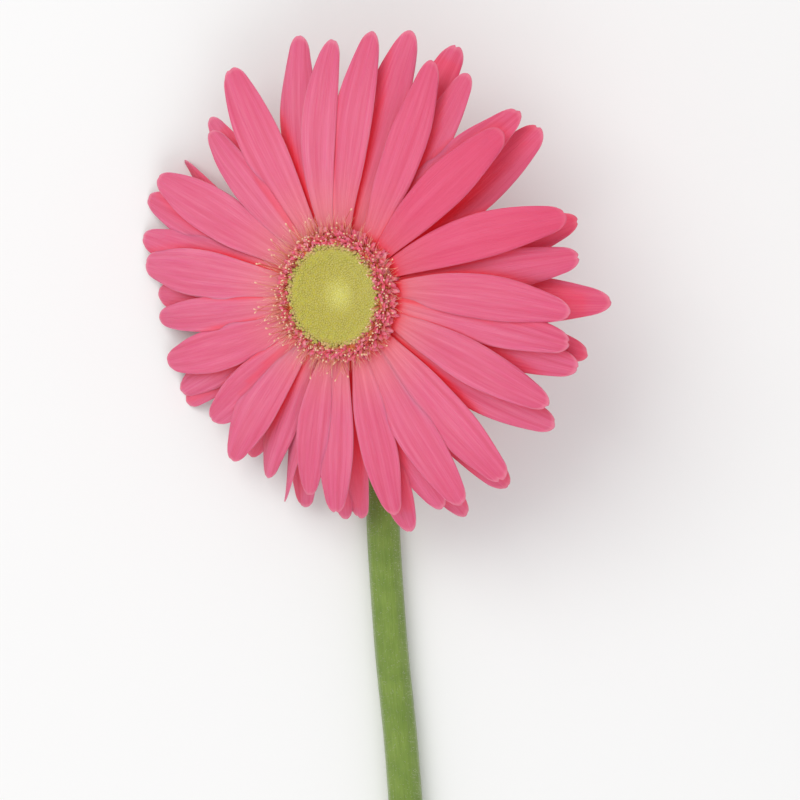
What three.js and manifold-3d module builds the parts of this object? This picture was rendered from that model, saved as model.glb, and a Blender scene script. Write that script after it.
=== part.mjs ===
// A cut gerbera, laid down on a flat surface after picking.
//
// The leafless stem lies along -Y and its neck curves up under the bloom, which faces up and leans
// to the left, so that its lowest petals touch the surface beside the stem. Five pieces grow on one
// another: the stem, the involucre (a green cup wrapped in pointed bracts), the ray florets (the
// large pink petals), the trans florets (the fringe of small tongues) and the disc florets (the
// dished field of closed buds). Millimetres, +Z up, origin under the middle of the whole flower.

import * as THREE from 'three';
import { mergeVertices } from 'three/addons/utils/BufferGeometryUtils.js';
import Module from 'manifold-3d';

const wasm = await Module();
wasm.setup();

// ---------------------------------------------------------------- driving dimensions

// Where pieces meet they stay this far apart.
const GAP = 0.3;

// The bloom: its centre is the middle of the plane that the petals grow from.
const BLOOM_CENTRE = new THREE.Vector3(-5.65, 68.0, 33.6);
const BLOOM_LEAN = 29;
const BLOOM_LEAN_AXIS = new THREE.Vector3(0.233, -0.972, 0).normalize();

// Petals: the ring that carries them, and a blade's own measures.
const HUB_INNER_RADIUS = 11.4;
const HUB_OUTER_RADIUS = 15.0;
const HUB_TOP = 1.5;
const HUB_BOTTOM = -2.6;
const HUB_BEVEL = 0.6;
const RING_SIDES = 36;
const PETAL_ROOT_RADIUS = 12.5;
const PETAL_FULL_RADIUS = 58;
const PETAL_THICKNESS = 0.75;
const PETAL_CROWN = 0.45;
const PETAL_ARCH = 3.2;
const PETAL_ROOT_SHARE = 0.36;
const PETAL_WIDEST_AT = 0.64;
const PETAL_SWELL = 1.2;
const PETAL_TIP_BLUNTNESS = 2.6;
const PETAL_STATIONS = [0, 0.18, 0.42, 0.64, 0.8, 0.92, 0.985];
// A resting tip's middle, a little under the surface, so that the cut leaves a small flat spot.
const REST_HEIGHT = -0.15;

// The three layers of petals, front to back: height of the root, and fall of the tip at full radius.
const LAYERS = [
  { rootHeight: 0.9, fall: 8.0 },
  { rootHeight: -0.3, fall: 11.3 },
  { rootHeight: -1.6, fall: 14.6 },
];

// How the bloom is looked at when its petals are measured: straight down, by an eye at this place
// from its centre. A root's bearing is taken where the petal comes out from under the fringe.
const EYE = new THREE.Vector3(15.4, -23.6, 700);
const ROOT_SEEN_AT = 18.3;

// Each petal as it shows from there, round the place where the middle of the disc's rim shows:
// bearing of its root and of its tip in degrees clockwise from +Y, reach of its tip, layer, width,
// and twist towards the tip in degrees.
const PETALS = [
  [346.5, 353, 59.8, 1, 10.0, 0],
  [354.5, 0.4, 58.6, 0, 9.0, 0],
  [7.8, 8.5, 61.4, 0, 10.0, 0],
  [18, 16.4, 63.4, 1, 11.7, 0],
  [33.4, 22.9, 58.6, 0, 9.8, 0],
  [30, 26.7, 64.0, 2, 10.1, 0],
  [38, 31.4, 59.6, 1, 9.6, 0],
  [47.6, 46, 54.2, 0, 10.3, 0],
  [43.8, 45.6, 60.2, 1, 11.3, 0],
  [57.8, 51.1, 61.2, 2, 11.0, 0],
  [64.4, 71.3, 56.6, 0, 10.2, 0],
  [77, 72.6, 58.8, 2, 9.6, 0],
  [82, 81, 57.2, 1, 9.4, 0],
  [90, 91.2, 63.8, 2, 11.4, 0],
  [84.5, 94, 54.6, 0, 10.2, 0],
  [96, 101.8, 55.4, 0, 9.6, 0],
  [98, 103, 60.0, 2, 9.8, 0],
  [104.4, 106.3, 58.6, 1, 9.8, 0],
  [111, 116.6, 55.4, 0, 9.8, 0],
  [122.8, 120.3, 59.0, 1, 9.8, 0],
  [131.4, 137, 57.4, 0, 11.0, 0],
  [134.8, 137.3, 59.2, 2, 9.6, 0],
  [144, 148.2, 56.2, 0, 10.4, 0],
  [149.6, 148.6, 58.8, 2, 10.2, 0],
  [154, 152.4, 54.6, 1, 9.2, 0],
  [156, 163.9, 51.8, 0, 9.4, 0],
  [157.4, 161.6, 56.6, 1, 9.8, 0],
  [168, 172.6, 51.0, 2, 9.0, 0],
  [172.6, 179.1, 49.2, 0, 9.0, 0],
  [174, 176.5, 50.8, 2, 8.6, 0],
  [184.6, 186.3, 45.4, 0, 8.6, 0],
  [189.5, 187.6, 48.4, 2, 9.2, 0],
  [189.4, 193, 48.0, 1, 5.6, 62],
  [201.4, 199.4, 43.5, 1, 9.4, 30],
  [213.8, 211.5, 43.6, 0, 10.8, 0],
  [206, 207, 40.7, 2, 9.0, 0],
  [218, 224, 39.6, 0, 10.0, -22],
  [234, 233.6, 40.7, 2, 8.1, 0],
  [237, 238, 40.6, 1, 9.6, 0],
  [239.4, 248.5, 40.2, 0, 10.4, 0],
  [260.4, 263, 39.8, 0, 8.1, 0],
  [267, 271, 39.5, 2, 9.4, 0],
  [281.6, 279.8, 42.8, 0, 11.3, 0],
  [287, 287.5, 44.9, 1, 11.0, 0],
  [302, 298.2, 47.4, 1, 10.6, 0],
  [310.4, 304, 47.8, 0, 11.4, 0],
  [305.4, 313, 45.6, 2, 7.0, -50],
  [326.4, 323.6, 46.4, 0, 8.3, 0],
  [326.8, 325.6, 49.2, 1, 9.4, 0],
  [339.2, 336, 56.6, 0, 11.2, 0],
];

// Trans florets: the ring that carries them, and its rows of tongues from the outside in.
const FRINGE_INNER_RADIUS = 11.4;
const FRINGE_OUTER_RADIUS = 13.6;
const FRINGE_BOTTOM = HUB_TOP + GAP;
const FRINGE_TOP = 3.2;
const FRINGE_ROWS = [
  { count: 28, rootRadius: 12.9, rootHeight: 2.9, rise: 2.2, spread: 4.0, width: 1.8 },
  { count: 24, rootRadius: 12.5, rootHeight: 2.7, rise: 3.7, spread: 2.6, width: 1.7 },
  { count: 22, rootRadius: 12.1, rootHeight: 2.6, rise: 4.1, spread: 0.9, width: 1.5 },
];
const FRINGE_BEVEL = 0.7;
const TONGUE_THICKNESS = 0.7;
const TONGUE_STATIONS = [0, 0.55, 1];
const TONGUE_TAPER = 0.62;
const TONGUE_RISE_SCATTER = 0.35;
const TONGUE_SWAY = 4;
const FRINGE_SEED = 7;

// Disc florets: a dished disc, its surface raised into buds.
const DISC_RADIUS = 11.0;
const DISC_BOTTOM = HUB_BOTTOM;
const DISC_CENTRE_HEIGHT = 1.9;
const DISC_RIM_HEIGHT = 5.0;
const DISC_RINGS = 12;
const BUD_HEIGHT = 0.7;

// Involucre: outline of the cup as [radius, height] from the neck up, and its rows of bracts.
const CUP_TOP = HUB_BOTTOM - GAP;
const CUP_BASE = -15;
const CUP_SIDES = 20;
const CUP_OUTLINE = [
  [4.1, CUP_BASE],
  [8.2, -12.0],
  [12.2, -7.0],
  [13.4, CUP_TOP],
];
const BRACT_ROWS = [
  { count: 13, rootHeight: -13.4, rootRadius: 5.6, tipHeight: -5.4, tipRadius: 14.9, width: 3.0 },
  { count: 16, rootHeight: -10.6, rootRadius: 9.2, tipHeight: -3.5, tipRadius: 17.0, width: 3.2 },
];
const BRACT_THICKNESS = 0.8;
const BRACT_BULGE = 1.7;
const BRACT_SHARES = [[0, 1], [0.5, 0.92], [1, 0.12]];

// The stem: its radius from the neck to the cut end, and its course along the surface below the
// bloom as [x, y, height]. Where the course comes down to the surface the stem lies on it.
const STEM_SIDES = 12;
const STEM_STEPS = 36;
const NECK_RADIUS = 3.4;
const NECK_SHARE = 0.3;
const STEM_RADIUS = 3.9;
const STEM_END_RADIUS = 4.4;
const NECK_STRAIGHT = 4.5;
const STEM_COURSE = [
  [5.0, 64, 9.0],
  [4.5, 52, 3.6],
  [3.6, 33, 3.0],
  [3.4, 13, 3.0],
  [5.2, -13, 3.0],
  [7.8, -41, 3.0],
  [10.6, -74, 3.0],
  [12.8, -103, 3.0],
  [14.6, -128, 3.0],
];
const CUT_SLANT = 40;

// Colours.
const PETAL_COLOUR = new THREE.Color(0xe55f86);
const FRINGE_COLOUR = new THREE.Color(0xd65a78);
const DISC_COLOUR = new THREE.Color(0xc8be64);
const INVOLUCRE_COLOUR = new THREE.Color(0x5d7a38);
const STEM_COLOUR = new THREE.Color(0x6f8b3f);

const radians = THREE.MathUtils.degToRad;
const lerp = THREE.MathUtils.lerp;

// ---------------------------------------------------------------- solids

// A geometry as a solid: only its positions count, with shared corners merged.
function solid(geometry) {
  const bare = geometry.clone();
  bare.deleteAttribute('normal');
  bare.deleteAttribute('uv');
  const merged = mergeVertices(bare, 1e-4);
  return new wasm.Manifold(new wasm.Mesh({
    numProp: 3,
    vertProperties: new Float32Array(merged.attributes.position.array),
    triVerts: new Uint32Array(merged.index.array),
  }));
}

// Joins solids into one body: hollows that the join seals are filled and loose scraps dropped.
function join(solids) {
  const joined = wasm.Manifold.union(solids);
  const pieces = joined.decompose();
  pieces.sort((a, b) => b.volume() - a.volume());
  return pieces[0];
}

// A solid as a geometry to draw.
function geometryOf(body) {
  const mesh = body.getMesh();
  const geometry = new THREE.BufferGeometry();
  geometry.setAttribute('position', new THREE.BufferAttribute(mesh.vertProperties, 3));
  geometry.setIndex(new THREE.BufferAttribute(mesh.triVerts, 1));
  geometry.computeVertexNormals();
  return geometry;
}

// An outline of [radius, height] points, from the bottom up, turned about Z.
function turned(outline, segments) {
  const points = outline.map(([radius, height]) => new THREE.Vector2(radius, height));
  return new THREE.LatheGeometry(points, segments).rotateX(Math.PI / 2);
}

// Collects the corners and triangles of a closed body.
class Body {
  constructor() {
    this.corners = [];
    this.faces = [];
  }

  // Adds a corner and gives its number.
  corner(point) {
    this.corners.push(point.x, point.y, point.z);
    return this.corners.length / 3 - 1;
  }

  // Adds the quad a, b, c, d, anticlockwise from outside, split from b to d if turned, else a to c.
  quad(a, b, c, d, turnedSplit = false) {
    if (turnedSplit) this.faces.push(a, b, d, b, c, d);
    else this.faces.push(a, b, c, a, c, d);
  }

  // The body as a geometry.
  geometry() {
    const geometry = new THREE.BufferGeometry();
    geometry.setAttribute('position', new THREE.Float32BufferAttribute(this.corners, 3));
    geometry.setIndex(this.faces);
    return geometry;
  }
}

// A blade of even thickness along its stations from root to tip. Each station gives a point, a side
// and an up direction, a half width, and how far its middle stands proud of its edges. lanes are the
// places across it, from -1 to 1. Both faces are split alike, mirrored about the middle.
function blade(stations, lanes, thickness) {
  const body = new Body();
  const faceCorners = (offset) => stations.map((station) => lanes.map((lane) => {
    const lift = station.crown * (1 - lane * lane) + offset;
    return body.corner(station.point.clone()
      .addScaledVector(station.side, station.halfWidth * lane)
      .addScaledVector(station.up, lift));
  }));
  const upper = faceCorners(thickness / 2);
  const lower = faceCorners(-thickness / 2);
  const last = stations.length - 1;
  const edge = lanes.length - 1;
  for (let i = 0; i < last; i += 1) {
    for (let j = 0; j < edge; j += 1) {
      const left = lanes[j] < 0;
      body.quad(upper[i][j], upper[i][j + 1], upper[i + 1][j + 1], upper[i + 1][j], left);
      body.quad(lower[i][j + 1], lower[i][j], lower[i + 1][j], lower[i + 1][j + 1], !left);
    }
    body.quad(upper[i][0], upper[i + 1][0], lower[i + 1][0], lower[i][0]);
    body.quad(upper[i + 1][edge], upper[i][edge], lower[i][edge], lower[i + 1][edge]);
  }
  for (let j = 0; j < edge; j += 1) {
    body.quad(upper[0][j + 1], upper[0][j], lower[0][j], lower[0][j + 1]);
    body.quad(upper[last][j], upper[last][j + 1], lower[last][j + 1], lower[last][j]);
  }
  return body.geometry();
}

// ---------------------------------------------------------------- the bloom's own frame

// In the bloom's frame +Z is the way it faces, +Y is bearing 0 and +X is bearing 90.
const bloomTurn = new THREE.Quaternion().setFromAxisAngle(BLOOM_LEAN_AXIS, radians(BLOOM_LEAN));
const toBloom = bloomTurn.clone().invert();
const FACING = new THREE.Vector3(0, 0, 1);
const facing = FACING.clone().applyQuaternion(bloomTurn);
const rimCentre = facing.clone().multiplyScalar(DISC_RIM_HEIGHT);
const discSeenAt = EYE.clone().lerp(rimCentre, EYE.z / (EYE.z - rimCentre.z));

// The three directions of a strip that runs along a heading: forward, across to its right, and up.
function axesAlong(heading) {
  const forward = heading.clone().normalize();
  const side = forward.clone().cross(FACING).normalize();
  return { forward, side, up: side.clone().cross(forward) };
}

// A point of the bloom from its bearing in degrees, radius and height.
function atBearing(bearing, radius, height) {
  const angle = radians(bearing);
  return new THREE.Vector3(radius * Math.sin(angle), radius * Math.cos(angle), height);
}

// How high the tip of a petal of this layer ends at a radius, before the surface stops it.
function tipHeight(layer, radius) {
  const out = (radius - PETAL_ROOT_RADIUS) / (PETAL_FULL_RADIUS - PETAL_ROOT_RADIUS);
  return layer.rootHeight - layer.fall * out * out;
}

// The point in the bloom's frame that shows at this bearing and reach from the eye, at the height
// that its layer has there. The height hangs on the radius, so a few rounds settle both.
function seenFromAbove(bearing, reach, layer) {
  const seen = atBearing(bearing, reach, 0).add(discSeenAt);
  const point = new THREE.Vector3();
  let rise = 0;
  for (let round = 0; round < 12; round += 1) {
    point.copy(seen).lerp(EYE, rise / EYE.z);
    const across = facing.x * point.x + facing.y * point.y;
    point.applyQuaternion(toBloom);
    const height = tipHeight(layer, Math.hypot(point.x, point.y));
    rise = Math.max((height - across) / facing.z, REST_HEIGHT - BLOOM_CENTRE.z);
  }
  return { bearing: THREE.MathUtils.radToDeg(Math.atan2(point.x, point.y)),
           radius: Math.hypot(point.x, point.y), height: point.z };
}

// ---------------------------------------------------------------- petals

// Share of the full width at a share of the length: narrow root, widest past the middle, round tip.
function petalWidth(along) {
  const swell = Math.sin(Math.min(along / PETAL_WIDEST_AT, 1) * Math.PI / 2) ** PETAL_SWELL;
  const close = Math.max(along - PETAL_WIDEST_AT, 0) / (1 - PETAL_WIDEST_AT);
  return lerp(PETAL_ROOT_SHARE, 1, swell) * Math.sqrt(1 - close ** PETAL_TIP_BLUNTNESS);
}

// One petal: its middle line runs from root to tip in an arch, its blade twists towards the tip.
function petal([rootBearing, tipBearing, reach, layerNumber, width, twist]) {
  const layer = LAYERS[layerNumber];
  const root = seenFromAbove(rootBearing, ROOT_SEEN_AT, layer);
  const tip = seenFromAbove(tipBearing, reach, layer);
  const swing = THREE.MathUtils.euclideanModulo(tip.bearing - root.bearing + 180, 360) - 180;
  const centre = (along) => atBearing(
    root.bearing + swing * along,
    lerp(PETAL_ROOT_RADIUS, tip.radius, along),
    lerp(layer.rootHeight, tip.height, along) + PETAL_ARCH * 4 * along * (1 - along),
  );
  const stations = PETAL_STATIONS.map((along) => {
    const { forward, side, up } = axesAlong(centre(along + 0.01).sub(centre(along - 0.01)));
    const roll = radians(twist) * along * along;
    side.applyAxisAngle(forward, roll);
    up.applyAxisAngle(forward, roll);
    return { point: centre(along), side, up, halfWidth: petalWidth(along) * width / 2,
             crown: PETAL_CROWN * Math.min(1, along * 4) };
  });
  return blade(stations, [-1, 0, 1], PETAL_THICKNESS);
}

// A slab under the surface, in the bloom's frame, to cut the resting tips flat.
function belowSurface() {
  const span = 4 * PETAL_FULL_RADIUS;
  const depth = BLOOM_CENTRE.z;
  const slab = new THREE.BoxGeometry(span, span, depth);
  return solid(slab.translate(0, 0, -depth / 2 - BLOOM_CENTRE.z).applyQuaternion(toBloom));
}

// All the petals on their ring.
function rayFlorets() {
  const hub = turned([
    [HUB_INNER_RADIUS, HUB_BOTTOM],
    [HUB_OUTER_RADIUS - HUB_BEVEL, HUB_BOTTOM],
    [HUB_OUTER_RADIUS, HUB_BOTTOM + HUB_BEVEL],
    [HUB_OUTER_RADIUS, HUB_TOP - HUB_BEVEL],
    [HUB_OUTER_RADIUS - HUB_BEVEL, HUB_TOP],
    [HUB_INNER_RADIUS, HUB_TOP],
    [HUB_INNER_RADIUS, HUB_BOTTOM],
  ], RING_SIDES);
  const bloom = join([solid(hub), ...PETALS.map((row) => solid(petal(row)))]);
  return join([bloom.subtract(belowSurface())]);
}

// ---------------------------------------------------------------- fringe of trans florets

// One tongue: it rises from the ring, bends outwards and narrows. scatter, from -1 to 1, makes it
// taller or shorter than its row and sways it to one side.
function tongue(bearing, row, scatter) {
  const { side, up } = axesAlong(atBearing(bearing, row.spread, row.rise));
  const stations = TONGUE_STATIONS.map((along) => ({
    point: atBearing(
      bearing + TONGUE_SWAY * scatter * along,
      row.rootRadius + row.spread * along * lerp(0.6, 1, along),
      row.rootHeight + row.rise * along * (1 + scatter * TONGUE_RISE_SCATTER),
    ),
    side,
    up,
    halfWidth: row.width / 2 * (1 - TONGUE_TAPER * along * along),
    crown: 0,
  }));
  return blade(stations, [-1, 1], TONGUE_THICKNESS);
}

// The rows of tongues on their ring.
function transFlorets() {
  const ring = turned([
    [FRINGE_INNER_RADIUS, FRINGE_BOTTOM],
    [FRINGE_OUTER_RADIUS - FRINGE_BEVEL, FRINGE_BOTTOM],
    [FRINGE_OUTER_RADIUS, FRINGE_BOTTOM + FRINGE_BEVEL],
    [FRINGE_OUTER_RADIUS, FRINGE_TOP],
    [FRINGE_INNER_RADIUS, FRINGE_TOP],
    [FRINGE_INNER_RADIUS, FRINGE_BOTTOM],
  ], RING_SIDES);
  THREE.MathUtils.seededRandom(FRINGE_SEED);
  const tongues = FRINGE_ROWS.flatMap((row, rowNumber) => (
    Array.from({ length: row.count }, (_, place) => {
      const bearing = (place + rowNumber / FRINGE_ROWS.length) * 360 / row.count;
      return solid(tongue(bearing, row, 2 * THREE.MathUtils.seededRandom() - 1));
    })
  ));
  return join([solid(ring), ...tongues]);
}

// ---------------------------------------------------------------- disc of closed buds

// The dish is a net of rings, ring k holding 6k corners. Every other corner of every other ring is
// raised into a bud, smaller towards the middle where the florets are youngest.
function discFlorets() {
  const body = new Body();
  const rings = [[body.corner(new THREE.Vector3(0, 0, DISC_CENTRE_HEIGHT))]];
  for (let ring = 1; ring <= DISC_RINGS; ring += 1) {
    const out = ring / DISC_RINGS;
    const count = 6 * ring;
    rings.push(Array.from({ length: count }, (_, place) => {
      const raised = ring % 2 === 1 && place % 2 === 0;
      const height = lerp(DISC_CENTRE_HEIGHT, DISC_RIM_HEIGHT, out * out)
        + (raised ? BUD_HEIGHT * (0.5 + 0.5 * out) : 0);
      return body.corner(atBearing(place * 360 / count, DISC_RADIUS * out, height));
    }));
  }
  for (let ring = 1; ring <= DISC_RINGS; ring += 1) {
    const inner = rings[ring - 1];
    const outer = rings[ring];
    for (let sixth = 0; sixth < 6; sixth += 1) {
      for (let step = 0; step < ring; step += 1) {
        const near = inner[(sixth * (ring - 1) + step) % inner.length];
        const far = outer[sixth * ring + step];
        const next = outer[(sixth * ring + step + 1) % outer.length];
        body.faces.push(near, next, far);
        if (step < ring - 1) {
          body.faces.push(near, inner[(sixth * (ring - 1) + step + 1) % inner.length], next);
        }
      }
    }
  }
  const rim = rings[DISC_RINGS];
  const foot = rim.map((_, place) => (
    body.corner(atBearing(place * 360 / rim.length, DISC_RADIUS, DISC_BOTTOM))
  ));
  const middle = body.corner(new THREE.Vector3(0, 0, DISC_BOTTOM));
  rim.forEach((_, place) => {
    const next = (place + 1) % rim.length;
    body.quad(rim[place], rim[next], foot[next], foot[place]);
    body.faces.push(foot[place], foot[next], middle);
  });
  return solid(body.geometry());
}

// ---------------------------------------------------------------- involucre

// One bract: it hugs the cup from its root, bulging a little, and ends in a free point.
function bract(bearing, row) {
  const { side, up } = axesAlong(atBearing(bearing, row.tipRadius - row.rootRadius,
    row.tipHeight - row.rootHeight));
  const stations = BRACT_SHARES.map(([along, share]) => {
    const bulge = BRACT_BULGE * 4 * along * (1 - along);
    const radius = lerp(row.rootRadius, row.tipRadius, along) + bulge;
    const height = lerp(row.rootHeight, row.tipHeight, along) - bulge;
    return { point: atBearing(bearing, radius, height), side, up,
             halfWidth: share * row.width / 2, crown: 0 };
  });
  return blade(stations, [-1, 1], BRACT_THICKNESS);
}

// The cup with its rows of bracts.
function involucre() {
  const cup = turned([[0, CUP_BASE], ...CUP_OUTLINE, [0, CUP_TOP]], CUP_SIDES);
  const bracts = BRACT_ROWS.flatMap((row, rowNumber) => (
    Array.from({ length: row.count }, (_, place) => (
      solid(bract((place + rowNumber / 2) * 360 / row.count, row))
    ))
  ));
  return join([solid(cup), ...bracts]);
}

// ---------------------------------------------------------------- stem

// Radius at a share of the stem's length: a slim neck, then slowly thicker to the cut end.
function stemRadius(along) {
  const shoulder = THREE.MathUtils.smoothstep(along, 0, NECK_SHARE);
  return lerp(NECK_RADIUS, STEM_RADIUS, shoulder) + (STEM_END_RADIUS - STEM_RADIUS) * along ** 3;
}

// The stem: rings of corners along its course, each turned so that a flat side faces down, the last
// one sheared into the slanting cut.
function stem() {
  const top = BLOOM_CENTRE.clone().addScaledVector(facing, CUP_BASE - GAP);
  const bend = top.clone().addScaledVector(facing, -NECK_STRAIGHT);
  const course = new THREE.CatmullRomCurve3([
    top, bend, ...STEM_COURSE.map((place) => new THREE.Vector3(...place)),
  ], false, 'centripetal');
  const body = new Body();
  const flatSide = Math.cos(Math.PI / STEM_SIDES);
  const rings = [];
  for (let step = 0; step <= STEM_STEPS; step += 1) {
    const along = step / STEM_STEPS;
    const radius = stemRadius(along);
    const centre = course.getPointAt(along);
    centre.z = Math.max(centre.z, radius * flatSide);
    const heading = step === 0 ? facing.clone().negate() : course.getTangentAt(along);
    if (centre.z <= radius * flatSide) heading.setZ(0);
    const { forward, side, up } = axesAlong(heading);
    rings.push(Array.from({ length: STEM_SIDES }, (_, place) => {
      const angle = (place + 0.5) * 2 * Math.PI / STEM_SIDES;
      const lift = radius * Math.sin(angle);
      const slant = step === STEM_STEPS ? -(lift + radius) * Math.tan(radians(CUT_SLANT)) : 0;
      return body.corner(centre.clone()
        .addScaledVector(side, radius * Math.cos(angle))
        .addScaledVector(up, lift)
        .addScaledVector(forward, slant));
    }));
  }
  const ends = [rings[0], rings[STEM_STEPS]].map((ring) => (
    body.corner(ring.reduce((sum, number) => (
      sum.add(new THREE.Vector3().fromArray(body.corners, number * 3))
    ), new THREE.Vector3()).divideScalar(STEM_SIDES))
  ));
  for (let place = 0; place < STEM_SIDES; place += 1) {
    const next = (place + 1) % STEM_SIDES;
    for (let step = 0; step < STEM_STEPS; step += 1) {
      body.quad(rings[step][place], rings[step + 1][place],
        rings[step + 1][next], rings[step][next]);
    }
    body.faces.push(ends[0], rings[0][place], rings[0][next]);
    body.faces.push(ends[1], rings[STEM_STEPS][next], rings[STEM_STEPS][place]);
  }
  return solid(body.geometry());
}

// ---------------------------------------------------------------- the flower

// One named piece of the flower.
function piece(name, body, color, roughness) {
  const material = new THREE.MeshStandardMaterial({ color, roughness, metalness: 0 });
  const mesh = new THREE.Mesh(geometryOf(body), material);
  mesh.name = name;
  return mesh;
}

const gerbera = new THREE.Group();
gerbera.add(piece('stem', stem(), STEM_COLOUR, 0.6));

const bloom = new THREE.Group();
bloom.position.copy(BLOOM_CENTRE);
bloom.quaternion.copy(bloomTurn);
bloom.add(piece('involucre', involucre(), INVOLUCRE_COLOUR, 0.7));
bloom.add(piece('ray_florets', rayFlorets(), PETAL_COLOUR, 0.55));
bloom.add(piece('trans_florets', transFlorets(), FRINGE_COLOUR, 0.6));
bloom.add(piece('disc_florets', discFlorets(), DISC_COLOUR, 0.75));
gerbera.add(bloom);

export default gerbera;
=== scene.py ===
"""A cut gerbera lying on a pale floor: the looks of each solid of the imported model.

Sizes are in millimetres and bearings in degrees clockwise from +Y; a mesh is turned to metres when
it is made. Every finer piece stands where the solid that it replaces stands.
"""

import logging
from collections.abc import Callable, Sequence
from dataclasses import dataclass, field
from enum import Enum
from functools import cached_property, partial
from typing import ClassVar, NamedTuple

import bpy
import numpy as np
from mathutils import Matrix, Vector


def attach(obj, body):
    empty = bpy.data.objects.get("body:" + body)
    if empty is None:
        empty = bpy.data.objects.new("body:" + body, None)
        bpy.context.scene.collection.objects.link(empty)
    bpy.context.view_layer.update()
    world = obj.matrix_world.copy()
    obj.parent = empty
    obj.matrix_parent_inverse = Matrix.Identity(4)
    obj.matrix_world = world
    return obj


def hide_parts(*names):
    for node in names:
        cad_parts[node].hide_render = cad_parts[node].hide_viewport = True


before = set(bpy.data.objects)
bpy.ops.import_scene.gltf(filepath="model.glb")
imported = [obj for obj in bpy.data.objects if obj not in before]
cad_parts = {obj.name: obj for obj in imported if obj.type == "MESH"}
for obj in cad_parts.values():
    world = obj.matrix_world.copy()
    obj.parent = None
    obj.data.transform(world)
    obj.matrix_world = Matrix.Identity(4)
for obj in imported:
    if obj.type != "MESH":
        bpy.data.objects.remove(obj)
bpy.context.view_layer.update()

MM = 0.001
PHOTO_SIDE = 800
UP = np.array([0.0, 0.0, 1.0])
Array = np.ndarray
Colour = tuple[float, float, float]
Draw = Callable[[float, float], Array]
Range = tuple[float, float]
Row = tuple[int, float, float, float, float, float]
Socket = bpy.types.NodeSocket
log = logging.getLogger("gerbera")


# ------------------------------------------------------------------------------------ arithmetic


def smoothstep(low: float, high: float, value: Array) -> Array:
    """Eases from 0 at low to 1 at high: three squares less two cubes of the share between them."""
    share = np.clip((value - low) / (high - low), 0.0, 1.0)
    return share * share * (3.0 - 2.0 * share)


def bell(value: Array, centre: Array, width: float) -> Array:
    """A bell curve: e to the power of less the square of the distance over the width."""
    return np.exp(-((value - centre) / width) ** 2)


def unit(vectors: Array) -> Array:
    """Vectors of length one: each divided by its own length."""
    return vectors / np.linalg.norm(vectors, axis=-1, keepdims=True)


def turned_about(vectors: Array, axes: Array, degrees: Array) -> Array:
    """Turns vectors about unit axes.

    The part along the axis stays; the rest is its cosine share plus, at right angles to it, the
    sine share of the axis crossed with the vector.

    Args:
        vectors: What is turned, (..., 3).
        axes: Unit axes, (..., 3).
        degrees: Angles, without the last dimension.

    Returns:
        The turned vectors, (..., 3).
    """
    angle = np.radians(degrees)[..., None]
    along = np.sum(vectors * axes, axis=-1, keepdims=True) * axes
    return along + (vectors - along) * np.cos(angle) + np.cross(axes, vectors) * np.sin(angle)


def at_bearing(bearing: Array, radius: Array, height: Array) -> Array:
    """Points round an axis: radius times the bearing's sine, then its cosine, then the height."""
    angle = np.radians(bearing)
    return np.stack(np.broadcast_arrays(radius * np.sin(angle), radius * np.cos(angle), height), -1)


def bearing_of(points: Array) -> Array:
    """The bearing of each point: the angle whose tangent is x over y."""
    return np.degrees(np.arctan2(points[..., 0], points[..., 1]))


def radius_of(points: Array) -> Array:
    """The distance of each point from the axis."""
    return np.hypot(points[..., 0], points[..., 1])


def short_way(degrees: Array) -> Array:
    """The same turns the short way round, from -180 to 180."""
    return (degrees + 180) % 360 - 180


def round_angles(sides: int) -> Array:
    """The angles of a ring's corners: even steps back from pi, the first of them half a step."""
    return np.pi - (np.arange(sides) + 0.5) * 2 * np.pi / sides


def ranks(rows: Sequence[Row], stagger: float) -> Array:
    """Bodies that stand evenly round in rows, each row turned on from the last.

    Args:
        rows: For each row, how many bodies it has and then its own numbers.
        stagger: How far a row is turned from the last, as a share of the room of one body.

    Returns:
        The bearings and then each of the rows' own numbers, (numbers, bodies, 1).
    """
    lines = [np.column_stack([(np.arange(count) + stagger * number) * 360 / count,
                              np.tile(own, (count, 1))])
             for number, (count, *own) in enumerate(rows)]
    return np.concatenate(lines).T[:, :, None]


# ---------------------------------------------------------------------------------------- solids


@dataclass
class Solid:
    """Closed bodies as arrays.

    corners are in millimetres, (n, 3). faces are four corner numbers each, (m, 4). places are the
    (across, along) shares of each face's corners, (m, 4, 2). marks hold one number a corner.
    """

    corners: Array
    faces: Array
    places: Array
    marks: dict[str, Array] = field(default_factory=dict)

    def __add__(self, other: "Solid") -> "Solid":
        """Both solids as one, with the marks that both of them have."""
        return Solid(
            np.concatenate([self.corners, other.corners]),
            np.concatenate([self.faces, other.faces + len(self.corners)]),
            np.concatenate([self.places, other.places]),
            {name: np.concatenate([self.marks[name], other.marks[name]])
             for name in self.marks if name in other.marks},
        )


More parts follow.
